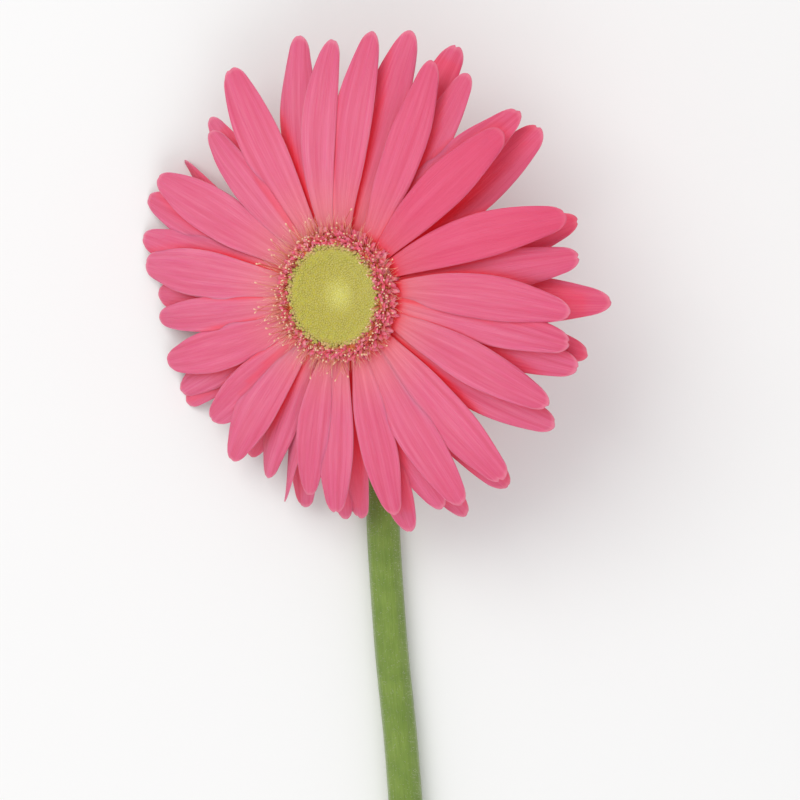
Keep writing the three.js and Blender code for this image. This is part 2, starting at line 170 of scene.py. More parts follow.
def strands(rings: Array, along: Array | None = None, across: Array | None = None,
            **marks: Array) -> Solid:
    """Closed bodies of one kind, each a skin drawn over its rings.

    A skin face joins station i to i + 1 and side j to j + 1. Each end is closed by a strip of faces
    that joins side j to its mirror side, counted from the last one back.

    Args:
        rings: Corners, (bodies, stations, sides, 3), clockwise as seen along the body.
        along: The share along the body of each station, from 0 to 1 if not given.
        across: The share across of each side and once more of the first, from 0 to 1 if not given.
        marks: Numbers for each body, or for each corner as (bodies, stations, sides).

    Returns:
        All the bodies as one solid.
    """
    bodies, stations, sides, _ = rings.shape
    along = np.linspace(0, 1, stations) if along is None else along
    across = np.linspace(0, 1, sides + 1) if across is None else across
    i, j = (grid.ravel() for grid in np.meshgrid(np.arange(stations - 1), np.arange(sides),
                                                 indexing="ij"))
    skin = np.stack([np.stack([i, j], 1), np.stack([i, j + 1], 1),
                     np.stack([i + 1, j + 1], 1), np.stack([i + 1, j], 1)], 1)
    j = np.arange(sides // 2 - 1)
    strip = np.stack([j + 1, j, sides - 1 - j, sides - 2 - j], 1)
    first = np.stack([np.zeros_like(strip), strip], 2)
    last = np.stack([np.full_like(strip, stations - 1), strip], 2)[:, ::-1]
    grid = np.concatenate([skin, first, last])
    one = grid[..., 0] * sides + grid[..., 1] % sides
    faces = (one[None] + (np.arange(bodies) * stations * sides)[:, None, None]).reshape(-1, 4)
    place = np.stack([across[grid[..., 1]], along[grid[..., 0]]], 2)
    spread = {name: np.broadcast_to(np.reshape(value, np.shape(value) + (1,) * (3 - np.ndim(value))),
                                    (bodies, stations, sides)).ravel()
              for name, value in marks.items()}
    return Solid(rings.reshape(-1, 3), faces, np.tile(place, (bodies, 1, 1)), spread)


def surface(centres: Array, side: Array, up: Array, across: Array, rise: Array) -> Array:
    """Points beside centres: the side times the way across, plus up times the rise."""
    return centres + side * across[..., None] + up * rise[..., None]


def blade_rings(middle: Array, normal: Array, thickness: Array | float) -> Array:
    """Rings of flat blades: half the thickness above the middle surface, then back below it.

    Args:
        middle: Points of the middle surface, (blades, stations, lanes, 3), lanes left to right.
        normal: Upward unit vectors that fit the same shape.
        thickness: Thickness, fitting (blades, stations, lanes).

    Returns:
        Rings, (blades, stations, 2 lanes, 3).
    """
    half = normal * (np.asarray(thickness)[..., None] / 2)
    return np.concatenate([middle + half, (middle - half)[:, :, ::-1]], axis=2)


def blade_shares(lanes: Array) -> Array:
    """Shares across for a blade's ring, from lanes of -1 to 1: over, back below, and the first."""
    share = (lanes + 1) / 2
    return np.concatenate([share, share[::-1], share[:1]])


def directions(centres: Array, facing: Array | None = None) -> tuple[Array, Array, Array]:
    """Forward, side and up along lines of points.

    Forward is the difference of neighbouring points. Side is forward crossed with a fixed
    direction, and up is side crossed with forward.

    Args:
        centres: Points, (lines, stations, 3).
        facing: The fixed direction, or for each line the axis that it leaves least if not given.

    Returns:
        Three arrays of unit vectors shaped as centres.
    """
    forward = unit(np.gradient(centres, axis=1))
    if facing is None:
        least = np.argmin(np.abs(centres[:, -1] - centres[:, 0]), axis=1)
        facing = np.eye(3)[least][:, None]
    side = unit(np.cross(forward, facing))
    return forward, side, np.cross(side, forward)


def tube_rings(centres: Array, radii: Array, sides: int, facing: Array | None = None) -> Array:
    """Round rings about lines of points: side times the cosine plus up times the sine.

    Args:
        centres: Points, (lines, stations, 3).
        radii: Radii that fit (lines, stations) or (lines, stations, sides).
        sides: How many corners a ring has, an even number.
        facing: A fixed direction that side is square to.

    Returns:
        Rings, (lines, stations, sides, 3).
    """
    _, side, up = directions(centres, facing)
    angle = round_angles(sides)
    radii = radii[..., None] if radii.ndim < 3 else radii
    return surface(centres[:, :, None], side[:, :, None], up[:, :, None],
                   radii * np.cos(angle), radii * np.sin(angle))


def hairs(roots: Array, tips: Array, bend: Array, radius: float, stations: int = 4,
          thinning: float = 0.7) -> Solid:
    """Fine four-sided hairs, each a straight run from root to tip plus a bow, thinning to its tip.

    Args:
        roots: Where they grow from, (hairs, 3).
        tips: Where they end, (hairs, 3).
        bend: How far each one's middle bows out, (hairs, 3).
        radius: Radius at the root.
        stations: Rings along a hair.
        thinning: The share of the radius that is gone at the tip.

    Returns:
        The hairs as one solid.
    """
    along = np.linspace(0, 1, stations)
    share = along[None, :, None]
    centres = roots[:, None] * (1 - share) + tips[:, None] * share \
        + bend[:, None] * 4 * share * (1 - share)
    radii = np.broadcast_to(radius * (1 - thinning * along), centres.shape[:2])
    rings = tube_rings(centres, radii, sides=4)
    return strands(rings, along, seed=np.linspace(0, 1, len(roots)))


def smooth_course(points: Array, spans: int) -> Array:
    """A smooth curve through points.

    Each span is a cubic whose end slopes weigh the chords beside that end by the square roots of
    their lengths. Beyond both ends the line goes on straight.

    Args:
        points: Points, (n, 3).
        spans: How many steps a span is split into.

    Returns:
        Points along the curve, ((n - 1) spans + 1, 3).
    """
    padded = np.concatenate([2 * points[:1] - points[1:2], points, 2 * points[-1:] - points[-2:-1]])
    knot = np.sqrt(np.linalg.norm(np.diff(padded, axis=0), axis=1))[:, None]
    before, between, after = knot[:-2], knot[1:-1], knot[2:]
    p0, p1, p2, p3 = padded[:-3], padded[1:-2], padded[2:-1], padded[3:]
    slope1 = between * ((p1 - p0) / before - (p2 - p0) / (before + between) + (p2 - p1) / between)
    slope2 = between * ((p2 - p1) / between - (p3 - p1) / (between + after) + (p3 - p2) / after)
    t = np.linspace(0, 1, spans, endpoint=False)[None, :, None]
    curve = ((2 * t**3 - 3 * t**2 + 1) * p1[:, None] + (t**3 - 2 * t**2 + t) * slope1[:, None]
             + (3 * t**2 - 2 * t**3) * p2[:, None] + (t**3 - t**2) * slope2[:, None])
    return np.concatenate([curve.reshape(-1, 3), points[-1:]])


def resampled(line: Array, count: int) -> Array:
    """Evenly spaced points of a line: each coordinate read off at equal steps of its length.

    Args:
        line: Points, (n, 3).
        count: How many points to read off.

    Returns:
        Points, (count, 3).
    """
    length = np.concatenate([[0], np.cumsum(np.linalg.norm(np.diff(line, axis=0), axis=1))])
    steps = np.linspace(0, length[-1], count)
    return np.stack([np.interp(steps, length, line[:, axis]) for axis in range(3)], 1)


def lathe(outline: Sequence[tuple[float, float]], steps: int, sides: int = 64,
          spans: int = 12, pole: float = 1e-3) -> Solid:
    """A body turned about +Z, its outline rounded by a curve through its points.

    Args:
        outline: (radius, height) points from the lower pole to the upper one.
        steps: Rings along the outline.
        sides: Corners round it, an even number.
        spans: Steps of the curve between two points.
        pole: The least radius, so that a pole's faces stay whole.

    Returns:
        The solid, with its poles closed.
    """
    points = np.array([(radius, 0.0, height) for radius, height in outline])
    line = resampled(smooth_course(points, spans), steps)
    angle = round_angles(sides)
    radius = np.maximum(line[:, 0], pole)[:, None]
    rings = np.stack(np.broadcast_arrays(radius * np.cos(angle), -radius * np.sin(angle),
                                         line[:, 2:]), -1)
    return strands(rings[None])


# ----------------------------------------------------------------------------------- the bloom


@dataclass(frozen=True)
class Bloom:
    """Where the bloom stands, and the eye that its petals are measured by.

    In its own frame +Z is the way it faces, +Y is bearing 0 and +X is bearing 90.
    """

    centre: tuple[float, float, float] = (-5.65, 68.0, 33.6)
    lean: float = 29.0
    lean_axis: tuple[float, float, float] = (0.233, -0.972, 0.0)
    eye: tuple[float, float, float] = (15.4, -23.6, 700.0)
    rim_height: float = 5.0
    rest_height: float = 0.0
    sight_rounds: int = 12

    def turn(self) -> Array:
        """The turn from the bloom's frame to the world: three turned axes as columns."""
        axis = unit(np.array(self.lean_axis))
        return turned_about(np.eye(3), axis, np.full(3, self.lean)).T

    def facing(self) -> Array:
        """The way that the bloom faces in the world."""
        return self.turn()[:, 2]

    def turned(self, ways: Array) -> Array:
        """Ways of the bloom's frame in the world: turned only."""
        return ways @ self.turn().T

    def to_world(self, points: Array) -> Array:
        """Points of the bloom's frame in the world: turned, then moved to its centre."""
        return self.turned(points) + np.array(self.centre)

    def carry(self, solid: Solid, **marks: float | Array) -> Solid:
        """A solid of the bloom's frame in the world, with marks that hold for all its corners."""
        even = {name: np.broadcast_to(value, len(solid.corners)) for name, value in marks.items()}
        return Solid(self.to_world(solid.corners), solid.faces, solid.places, solid.marks | even)

    def disc_seen_at(self) -> Array:
        """Where the middle of the disc's rim shows on the level of the bloom's centre.

        Returns:
            The place, from the centre.
        """
        eye = np.array(self.eye)
        rim = self.facing() * self.rim_height
        return eye + (rim - eye) * eye[2] / (eye[2] - rim[2])

    def seen_from_above(self, bearing: Array, reach: Array, root_height: Array, fall: Array,
                        radii: Range) -> Array:
        """Points that show at a bearing and reach, on a dish that falls with the square of radius.

        A point lies on its line of sight. Its height hangs on its radius, so a few rounds of
        working out one from the other settle both.

        Args:
            bearing: Bearing round the place where the disc shows.
            reach: Distance from that place.
            root_height: Height of the dish at the first radius.
            fall: How far it has fallen at the second radius.
            radii: The two radii.

        Returns:
            The points in the bloom's frame, (n, 3).
        """
        seen = at_bearing(bearing, reach, np.zeros_like(reach)) + self.disc_seen_at()
        eye, facing, turn = np.array(self.eye), self.facing(), self.turn()
        rise = np.zeros(len(seen))
        for _ in range(self.sight_rounds):
            world = seen + (eye - seen) * (rise / eye[2])[:, None]
            out = (radius_of(world @ turn) - radii[0]) / (radii[1] - radii[0])
            height = root_height - fall * out * out
            rise = np.maximum((height - world[:, :2] @ facing[:2]) / facing[2],
                              self.rest_height - self.centre[2])
        return (seen + (eye - seen) * (rise / eye[2])[:, None]) @ turn


# ----------------------------------------------------------------------------- nodes and groups


class Nodes:
    """Adds nodes to one tree, and links or sets their inputs."""

    def __init__(self, tree: bpy.types.NodeTree) -> None:
        """Works on a tree."""
        self.tree = tree

    def add(self, kind: str, inputs: dict | None = None, **settings: object) -> bpy.types.Node:
        """Adds a node.

        Args:
            kind: The node's type.
            inputs: For each input's name or number, a socket to link or a value to set. A tuple is
                a colour.
            settings: The node's own settings.

        Returns:
            The node.
        """
        node = self.tree.nodes.new(kind)
        for name, value in settings.items():
            setattr(node, name, value)
        for name, value in (inputs or {}).items():
            if isinstance(value, Socket):
                self.tree.links.new(value, node.inputs[name])
            else:
                node.inputs[name].default_value = (*value, 1.0) if isinstance(value, tuple) else value
        return node

    def math(self, operation: str, *values: float | Socket) -> Socket:
        """One step of arithmetic on sockets or numbers."""
        return self.add("ShaderNodeMath", dict(enumerate(values)), operation=operation).outputs[0]

    def times(self, first: Socket, second: float | Socket) -> Socket:
        """One number times another."""
        return self.math("MULTIPLY", first, second)

    def scramble(self, value: Socket, factor: float) -> Socket:
        """Another number from 0 to 1 out of a first: what is past the point of a large multiple."""
        return self.math("FRACT", self.times(value, factor))

    def ease(self, value: Socket, low: float | Socket, high: float | Socket,
             to_low: float = 0.0, to_high: float = 1.0) -> Socket:
        """Eases a value from one range to another, held at both ends."""
        return self.add("ShaderNodeMapRange", {"Value": value, "From Min": low, "From Max": high,
                                               "To Min": to_low, "To Max": to_high},
                        interpolation_type="SMOOTHSTEP").outputs[0]

    def mix(self, share: float | Socket, first: Colour | Socket, second: Colour | Socket) -> Socket:
        """Mixes two colours by a share of the second."""
        return self.add("ShaderNodeMix", {0: share, 6: first, 7: second}, data_type="RGBA",
                        blend_type="MIX").outputs[2]

    def group(self, tree: bpy.types.NodeTree, **inputs: object) -> Socket:
        """Places a node group and gives what it puts out. In a name, _ stands for each blank."""
        return self.add("ShaderNodeGroup", {name.replace("_", " "): value
                                            for name, value in inputs.items()},
                        node_tree=tree).outputs[0]


def new_group(name: str, inputs: dict[str, str],
              outputs: dict[str, str]) -> tuple[bpy.types.NodeTree, Nodes, dict[str, Socket]]:
    """Starts a node group.

    Args:
        name: The group's name.
        inputs: Kind of each input: Float, Color or Vector.
        outputs: Kind of each output.

    Returns:
        The group, a helper for its nodes, and the sockets that give its inputs.
    """
    tree = bpy.data.node_groups.new(name, "ShaderNodeTree")
    for way, sockets in (("INPUT", inputs), ("OUTPUT", outputs)):
        for socket, kind in sockets.items():
            tree.interface.new_socket(name=socket, in_out=way, socket_type=f"NodeSocket{kind}")
    nodes = Nodes(tree)
    return tree, nodes, {socket.name: socket for socket in nodes.add("NodeGroupInput").outputs}


class Effects:
    """The effects that more than one finish uses, each a node group built once."""

    SEED_SPACING = 97.0
    STREAK_CONTRAST = (0.25, 0.75)
    CLOUD_CONTRAST = (0.3, 0.7)

    def __init__(self) -> None:
        """Builds every group."""
        self.streaks = self._streaks()
        self.length_blend = self._length_blend()
        self.edge = self._edge()
        self.mottle = self._mottle()

    def _streaks(self) -> bpy.types.NodeTree:
        """Fine lines that run lengthwise: noise that is close across and drawn out along.

        Returns:
            The group.
        """
        tree, nodes, given = new_group("fine_streaks", {
            "Across": "Float", "Along": "Float", "Seed": "Float",
            "Lines Across": "Float", "Breaks Along": "Float"}, {"Streak": "Float"})
        place = nodes.add("ShaderNodeCombineXYZ", {
            0: nodes.times(given["Across"], given["Lines Across"]),
            1: nodes.times(given["Along"], given["Breaks Along"]),
            2: nodes.times(given["Seed"], self.SEED_SPACING)})
        noise = nodes.add("ShaderNodeTexNoise", {"Vector": place.outputs[0], "Scale": 1.0,
                                                 "Detail": 3.0, "Roughness": 0.6})
        nodes.add("NodeGroupOutput", {"Streak": nodes.ease(noise.outputs[0], *self.STREAK_CONTRAST)})
        return tree

    @staticmethod
    def _length_blend() -> bpy.types.NodeTree:
        """Three colours along a length: root to middle, then middle to tip, both eased.

        Returns:
            The group.
        """
        tree, nodes, given = new_group("length_blend", {
            "Along": "Float", "Root Colour": "Color", "Middle Colour": "Color",
            "Tip Colour": "Color", "Middle At": "Float"}, {"Colour": "Color"})
        early = nodes.ease(given["Along"], 0.0, given["Middle At"])
        colour = nodes.mix(early, given["Root Colour"], given["Middle Colour"])
        late = nodes.ease(given["Along"], given["Middle At"], 1.0)
        nodes.add("NodeGroupOutput", {"Colour": nodes.mix(late, colour, given["Tip Colour"])})
        return tree

    @staticmethod
    def _edge() -> bpy.types.NodeTree:
        """A mask of both side edges: how far the place across lies within a rim's width of them.

        Returns:
            The group.
        """
        tree, nodes, given = new_group("side_edge", {"Across": "Float", "Rim": "Float"},
                                       {"Mask": "Float"})
        out = nodes.math("ABSOLUTE", nodes.math("SUBTRACT", nodes.times(given["Across"], 2.0), 1.0))
        start = nodes.math("SUBTRACT", 1.0, given["Rim"])
        nodes.add("NodeGroupOutput", {"Mask": nodes.ease(out, start, 1.0)})
        return tree

    def _mottle(self) -> bpy.types.NodeTree:
        """Soft clouds: noise of a few octaves on the object's own coordinates.

        Returns:
            The group.
        """
        tree, nodes, given = new_group("soft_mottle", {"Clouds Per Metre": "Float"},
                                       {"Cloud": "Float"})
        noise = nodes.add("ShaderNodeTexNoise", {
            "Vector": nodes.add("ShaderNodeTexCoord").outputs["Object"],
            "Scale": given["Clouds Per Metre"], "Detail": 4.0})
        nodes.add("NodeGroupOutput", {"Cloud": nodes.ease(noise.outputs[0], *self.CLOUD_CONTRAST)})
        return tree


class Skin(Nodes):
    """The nodes of one material, whose colour is painted coat over coat."""

    def __init__(self, tree: bpy.types.NodeTree, effects: Effects) -> None:
        """Works on a material's tree.

        Args:
            tree: The material's nodes.
            effects: The shared node groups.
        """
        super().__init__(tree)
        self.effects = effects
        self.shader = tree.nodes["Principled BSDF"]
        self.colour: Colour | Socket = (1.0, 1.0, 1.0)

    @cached_property
    def place(self) -> Sequence[Socket]:
        """The shares across and along the piece, from its own UV map."""
        return self.add("ShaderNodeSeparateXYZ", {
            0: self.add("ShaderNodeUVMap", uv_map="place").outputs[0]}).outputs

    @cached_property
    def across(self) -> Socket:
        """The share across the piece."""
        return self.place[0]

    @cached_property
    def along(self) -> Socket:
        """The share along the piece."""
        return self.place[1]

    @cached_property
    def seed(self) -> Socket:
        """The number that each body has for its own."""
        return self.mark("seed")

    def mark(self, name: str) -> Socket:
        """One of the piece's own marks as a number."""
        return self.add("ShaderNodeAttribute", attribute_name=name).outputs["Fac"]

    def streaks(self, lines: float, breaks: float) -> Socket:
        """Streaks along the piece, by how many lie across it and how often they break."""
        return self.group(self.effects.streaks, Across=self.across, Along=self.along,
                          Seed=self.seed, Lines_Across=lines, Breaks_Along=breaks)

    def clouds(self, clouds_per_metre: float) -> Socket:
        """Soft clouds of a size."""
        return self.group(self.effects.mottle, Clouds_Per_Metre=clouds_per_metre)

    def blend(self, along: Socket, root: Colour | Socket, middle: Colour | Socket,
              tip: Colour | Socket, middle_at: float) -> None:
        """Starts the colour with three of them along a length."""
        self.colour = self.group(self.effects.length_blend, Along=along, Root_Colour=root,
                                 Middle_Colour=middle, Tip_Colour=tip, Middle_At=middle_at)

    def coat(self, colour: Colour | Socket, share: Socket, strength: float | None = None) -> None:
        """Mixes another colour over what is there, by a share and, if given, its strength."""
        share = self.times(share, strength) if strength else share
        self.colour = self.mix(share, self.colour, colour)

    def wire(self, name: str, socket: Socket) -> None:
        """Links a socket to one of the shader's inputs."""
        self.tree.links.new(socket, self.shader.inputs[name])

    def bump(self, height: Socket, depth: float) -> None:
        """Raises the surface by a height socket, with a depth in millimetres."""
        self.wire("Normal", self.add("ShaderNodeBump", {
            "Height": height, "Distance": depth * MM, "Strength": 1.0}).outputs[0])


# ---------------------------------------------------------------------------------- the finishes


@dataclass(frozen=True)
class Finish:
    """What every finish shares: a name, roughness, sheen, and light that goes into the surface."""

    name: str
    roughness: float = 0.6
    sheen: float = 0.0
    subsurface: float = 0.0
    subsurface_depth: float = 0.5
    subsurface_tint: Colour = (1.0, 0.4, 0.4)
    specular: float = 0.35

    def build(self, effects: Effects) -> bpy.types.Material:
        """Makes the material: its even values, then the colour and relief that the finish paints.

        Args:
            effects: The shared node groups.

        Returns:
            The material.
        """
        material = bpy.data.materials.new(self.name)
        material.use_nodes = True
        skin = Skin(material.node_tree, effects)
        shader = skin.shader
        shader.inputs["Roughness"].default_value = self.roughness
        shader.inputs["Specular IOR Level"].default_value = self.specular
        shader.inputs["Sheen Weight"].default_value = self.sheen
        shader.inputs["Subsurface Weight"].default_value = self.subsurface
        shader.inputs["Subsurface Radius"].default_value = self.subsurface_tint
        shader.inputs["Subsurface Scale"].default_value = self.subsurface_depth * MM
        self.paint(skin)
        skin.wire("Base Color", skin.colour)
        return material

    def paint(self, skin: Skin) -> None:
        """Paints the colour, and links what else changes over the surface."""
        raise NotImplementedError


@dataclass(frozen=True)
class PetalFinish(Finish):
    """Pink petals: salmon at the root, rosier outwards, finely streaked, with deep red painted shade in
    folds.

    An ease is a range of the share along, and what it gives at the two ends.
    """

    # Painted shade of the fringe: red-brown on the petals' roots.
    foot: Colour = (0.42, 0.07, 0.05)
    root: Colour = (0.86, 0.26, 0.285)
    middle: Colour = (0.78, 0.152, 0.29)
    tip: Colour = (0.76, 0.115, 0.262)
    flushed: Colour = (0.75, 0.05, 0.14)
    under: Colour = (0.70, 0.20, 0.27)
    pale: Colour = (0.90, 0.37, 0.46)
    deep: Colour = (0.60, 0.03, 0.085)
    # Painted shade: the deep red painted where petals of a nearer layer cover a petal.
    painted_shade_red: Colour = (0.86, 0.022, 0.038)
    middle_at: float = 0.45
    fine_lines: tuple[float, float] = (32.0, 3.5)
    broad_lines: tuple[float, float] = (7.0, 1.4)
    streak_strength: float = 0.32
    groove_strength: float = 0.36
    edge_width: float = 0.06
    edge_strength: float = 0.15
    rim_from: float = 0.972
    rim_strength: float = 0.45
    flush_strength: float = 0.62
    under_streaks: float = 0.3
    under_shade: float = 0.25
    shade_ease: tuple[float, ...] = (0.35, 0.92, 0.9, 0.28)
    glow_ease: tuple[float, ...] = (0.3, 0.95, 1.0, 0.5)
    root_shade_ease: tuple[float, ...] = (0.03, 0.09, 0.6, 0.0)
    # Painted glow: how strongly the painted shade glows red by emission.
    painted_glow_strength: float = 0.16
    smoother: float = 0.06
    rougher: float = 0.08
    relief: float = 0.06
    broad_relief: float = 1.5

    def paint(self, skin: Skin) -> None:
        """Paints the petals from the blend along them to the shade in their folds.

        Where nearer petals cover a petal, its colour is painted deep red as shade, and an emission
        paints a faint red glow there in place of light shining through the petals.

        Args:
            skin: The material's nodes.
        """
        fine, broad = skin.streaks(*self.fine_lines), skin.streaks(*self.broad_lines)
        under_mark = skin.mark("underside")
        edge = skin.group(skin.effects.edge, Across=skin.across, Rim=self.edge_width)
        skin.blend(skin.along, self.root, self.middle, self.tip, self.middle_at)
        skin.coat(self.pale, fine, self.streak_strength)
        skin.coat(self.deep, broad, self.streak_strength)
        skin.coat(self.deep, skin.mark("groove"), self.groove_strength)
        skin.coat(self.pale, edge, self.edge_strength)
        skin.coat(self.pale, skin.ease(skin.along, self.rim_from, 1.0), self.rim_strength)
        skin.coat(self.flushed, skin.mark("flush"), self.flush_strength)
        under = skin.mix(skin.times(fine, self.under_streaks), self.under, self.middle)
        skin.coat(under, under_mark)
        # The painted shade is full on the upper face and weaker on the underside.
        painted_shade_share = skin.ease(under_mark, 0.0, 1.0, 1.0, self.under_shade)
        deep = skin.times(skin.ease(skin.along, *self.shade_ease), painted_shade_share)
        cover = skin.times(skin.mark("cover"), deep)
        # Painted shade: deep red mixed in by how deeply nearer petals cover this point.
        skin.coat(self.painted_shade_red, cover)
        # Painted shade: red-brown at the petals' roots, next to the fringe.
        skin.coat(self.foot, skin.ease(skin.along, *self.root_shade_ease))
        # Painted glow: red emission where the painted shade is, as if light shone through the petals.
        glow = skin.times(cover, skin.ease(skin.along, *self.glow_ease))
        skin.wire("Emission Color", skin.mix(glow, (0.0, 0.0, 0.0), self.painted_shade_red))
        skin.shader.inputs["Emission Strength"].default_value = self.painted_glow_strength
        skin.wire("Roughness", skin.ease(fine, 0.0, 1.0, self.roughness - self.smoother,
                                         self.roughness + self.rougher))
        skin.bump(skin.math("ADD", fine, skin.times(broad, self.broad_relief)), self.relief)


@dataclass(frozen=True)
class TongueFinish(Finish):
    """Small pink tongues of the fringe: some rosy, some deep red, paler at their tips."""

    root: Colour = (0.94, 0.13, 0.05)
    middle: Colour = (0.97, 0.14, 0.23)
    tip: Colour = (0.98, 0.20, 0.34)
    pale: Colour = (0.98, 0.46, 0.50)
    middle_at: float = 0.5
    lines: tuple[float, float] = (8.0, 2.0)
    streak_strength: float = 0.25
    pale_seed: float = 0.55
    pale_from: float = 0.4
    pale_strength: float = 0.6
    relief: float = 0.04

    def paint(self, skin: Skin) -> None:
        """Paints the tongues, the tips of some of them paler.

        Args:
            skin: The material's nodes.
        """
        streak = skin.streaks(*self.lines)
        skin.blend(skin.along, self.root, self.middle, self.tip, self.middle_at)
        skin.coat(self.root, streak, self.streak_strength)
        pale = skin.times(skin.ease(skin.seed, self.pale_seed, 1.0),
                          skin.ease(skin.along, self.pale_from, 1.0))
        skin.coat(self.pale, pale, self.pale_strength)
        skin.bump(streak, self.relief)


@dataclass(frozen=True)
class StrandFinish(Finish):
    """Hairs, styles and bristles: one colour at the root, another at the tip, each a little its own."""

    root: Colour = (0.62, 0.66, 0.5)
    other: Colour = (0.75, 0.76, 0.66)
    tip: Colour = (0.85, 0.86, 0.8)
    turn_at: float = 0.7
    seed_factor: float = 617.0

    def paint(self, skin: Skin) -> None:
        """Blends from a strand's own root colour to the tip's."""
        root = skin.mix(skin.scramble(skin.seed, self.seed_factor), self.root, self.other)
        skin.blend(skin.along, root, root, self.tip, self.turn_at)


@dataclass(frozen=True)
class DiscFinish(Finish):
    """The dished field of buds: bright yellow in the middle, olive and then lime towards the rim.

    An ease of the way out or of a bud's own number is the range over which it rises from 0 to 1.
    """

    middle: Colour = (0.80, 0.765, 0.22)
    halfway: Colour = (0.525, 0.46, 0.082)
    rim: Colour = (0.55, 0.475, 0.095)
    lime: Colour = (0.54, 0.56, 0.07)
    shade: Colour = (0.42, 0.36, 0.038)
    bud_tip: Colour = (0.66, 0.605, 0.21)
    gap: Colour = (0.56, 0.50, 0.065)
    blush: Colour = (0.80, 0.42, 0.26)
    halfway_at: float = 0.50
    shade_strength: float = 0.22
    lime_factor: float = 37.0
    lime_out: Range = (0.45, 1.0)
    lime_buds: Range = (0.3, 0.9)
    lime_strength: float = 0.7
    blush_factor: float = 91.0
    blush_out: Range = (0.90, 1.0)
    blush_buds: Range = (0.3, 0.8)
    blush_strength: float = 0.75
    gap_ease: tuple[float, ...] = (0.3, 0.75, 0.5, 0.0)
    tip_from: float = 0.4
    tip_strength: float = 0.35
    clouds_per_metre: float = 4000.0
    relief: float = 0.05

    def paint(self, skin: Skin) -> None:
        """Paints the disc from its middle out, and then each bud from its foot up.

        Args:
            skin: The material's nodes.
        """
        out = skin.mark("out")
        skin.blend(out, self.middle, self.halfway, self.rim, self.halfway_at)
        skin.coat(self.shade, skin.seed, self.shade_strength)
        for colour, factor, far, buds, strength in (
            (self.lime, self.lime_factor, self.lime_out, self.lime_buds, self.lime_strength),
            (self.blush, self.blush_factor, self.blush_out, self.blush_buds, self.blush_strength),
        ):
            chosen = skin.ease(skin.scramble(skin.seed, factor), *buds)
            skin.coat(colour, skin.times(skin.ease(out, *far), chosen), strength)
        skin.coat(self.gap, skin.ease(skin.along, *self.gap_ease))
        skin.coat(self.bud_tip, skin.ease(skin.along, self.tip_from, 1.0), self.tip_strength)
        skin.bump(skin.clouds(self.clouds_per_metre), self.relief)


@dataclass(frozen=True)
class GreenFinish(Finish):
    """Green skin of the stem and bracts: lengthwise ribs and streaks over soft clouds of colour."""

    shade: Colour = (0.10, 0.18, 0.02)
    light: Colour = (0.28, 0.40, 0.08)
    root: Colour = (0.17, 0.26, 0.035)
    tip: Colour = (0.17, 0.26, 0.035)
    lines: tuple[float, float] = (40.0, 6.0)
    streak_strength: float = 0.45
    cloud_strength: float = 0.40
    clouds_per_metre: float = 180.0
    relief: float = 0.08

    def paint(self, skin: Skin) -> None:
        """Paints the green skin.

        Args:
            skin: The material's nodes.
        """
        streak = skin.streaks(*self.lines)
        skin.colour = skin.mix(skin.ease(skin.along, 0.0, 1.0), self.root, self.tip)
        skin.coat(self.light, streak, self.streak_strength)
        skin.coat(self.shade, skin.clouds(self.clouds_per_metre), self.cloud_strength)
        skin.bump(streak, self.relief)


@dataclass(frozen=True)
class StemFinish(GreenFinish):
    """The stem's green skin, and on its cut face a green rind round pale, spongy pith."""

    rind: Colour = (0.22, 0.33, 0.08)
    pith: Colour = (0.62, 0.66, 0.36)
    rind_within: Range = (0.12, 0.30)
    face_from: Range = (0.0, 0.04)
    cells_per_metre: float = 1900.0
    cell_strength: float = 0.5

    def paint(self, skin: Skin) -> None:
        """Paints the skin, and puts rind and pith over it where the mark of the cut is above 0.

        Args:
            skin: The material's nodes.
        """
        super().paint(skin)
        cut = skin.mark("cut")
        cells = skin.add("ShaderNodeTexVoronoi", {
            "Vector": skin.add("ShaderNodeTexCoord").outputs["Object"],
            "Scale": self.cells_per_metre})
        face = skin.mix(skin.ease(cut, *self.rind_within), self.rind, self.pith)
        face = skin.mix(skin.times(cells.outputs["Distance"], self.cell_strength), face, self.rind)
        skin.coat(face, skin.ease(cut, *self.face_from))


@dataclass(frozen=True)
class FloorFinish(Finish):
    """A plain pale floor, with clouds so faint that it reads as plain."""

    plain: Colour = (0.90, 0.90, 0.90)
    cloud: Colour = (0.85, 0.85, 0.86)
    clouds_per_metre: float = 8.0
    cloud_strength: float = 0.02

    def paint(self, skin: Skin) -> None:
        """Lays faint clouds over the plain colour."""
        skin.colour = self.plain
        skin.coat(self.cloud, skin.clouds(self.clouds_per_metre), self.cloud_strength)


HAIR = StrandFinish("hair_skin", roughness=0.5)


# ---------------------------------------------------------------------------------- the pieces


Dressed = tuple[str, Solid, Finish]


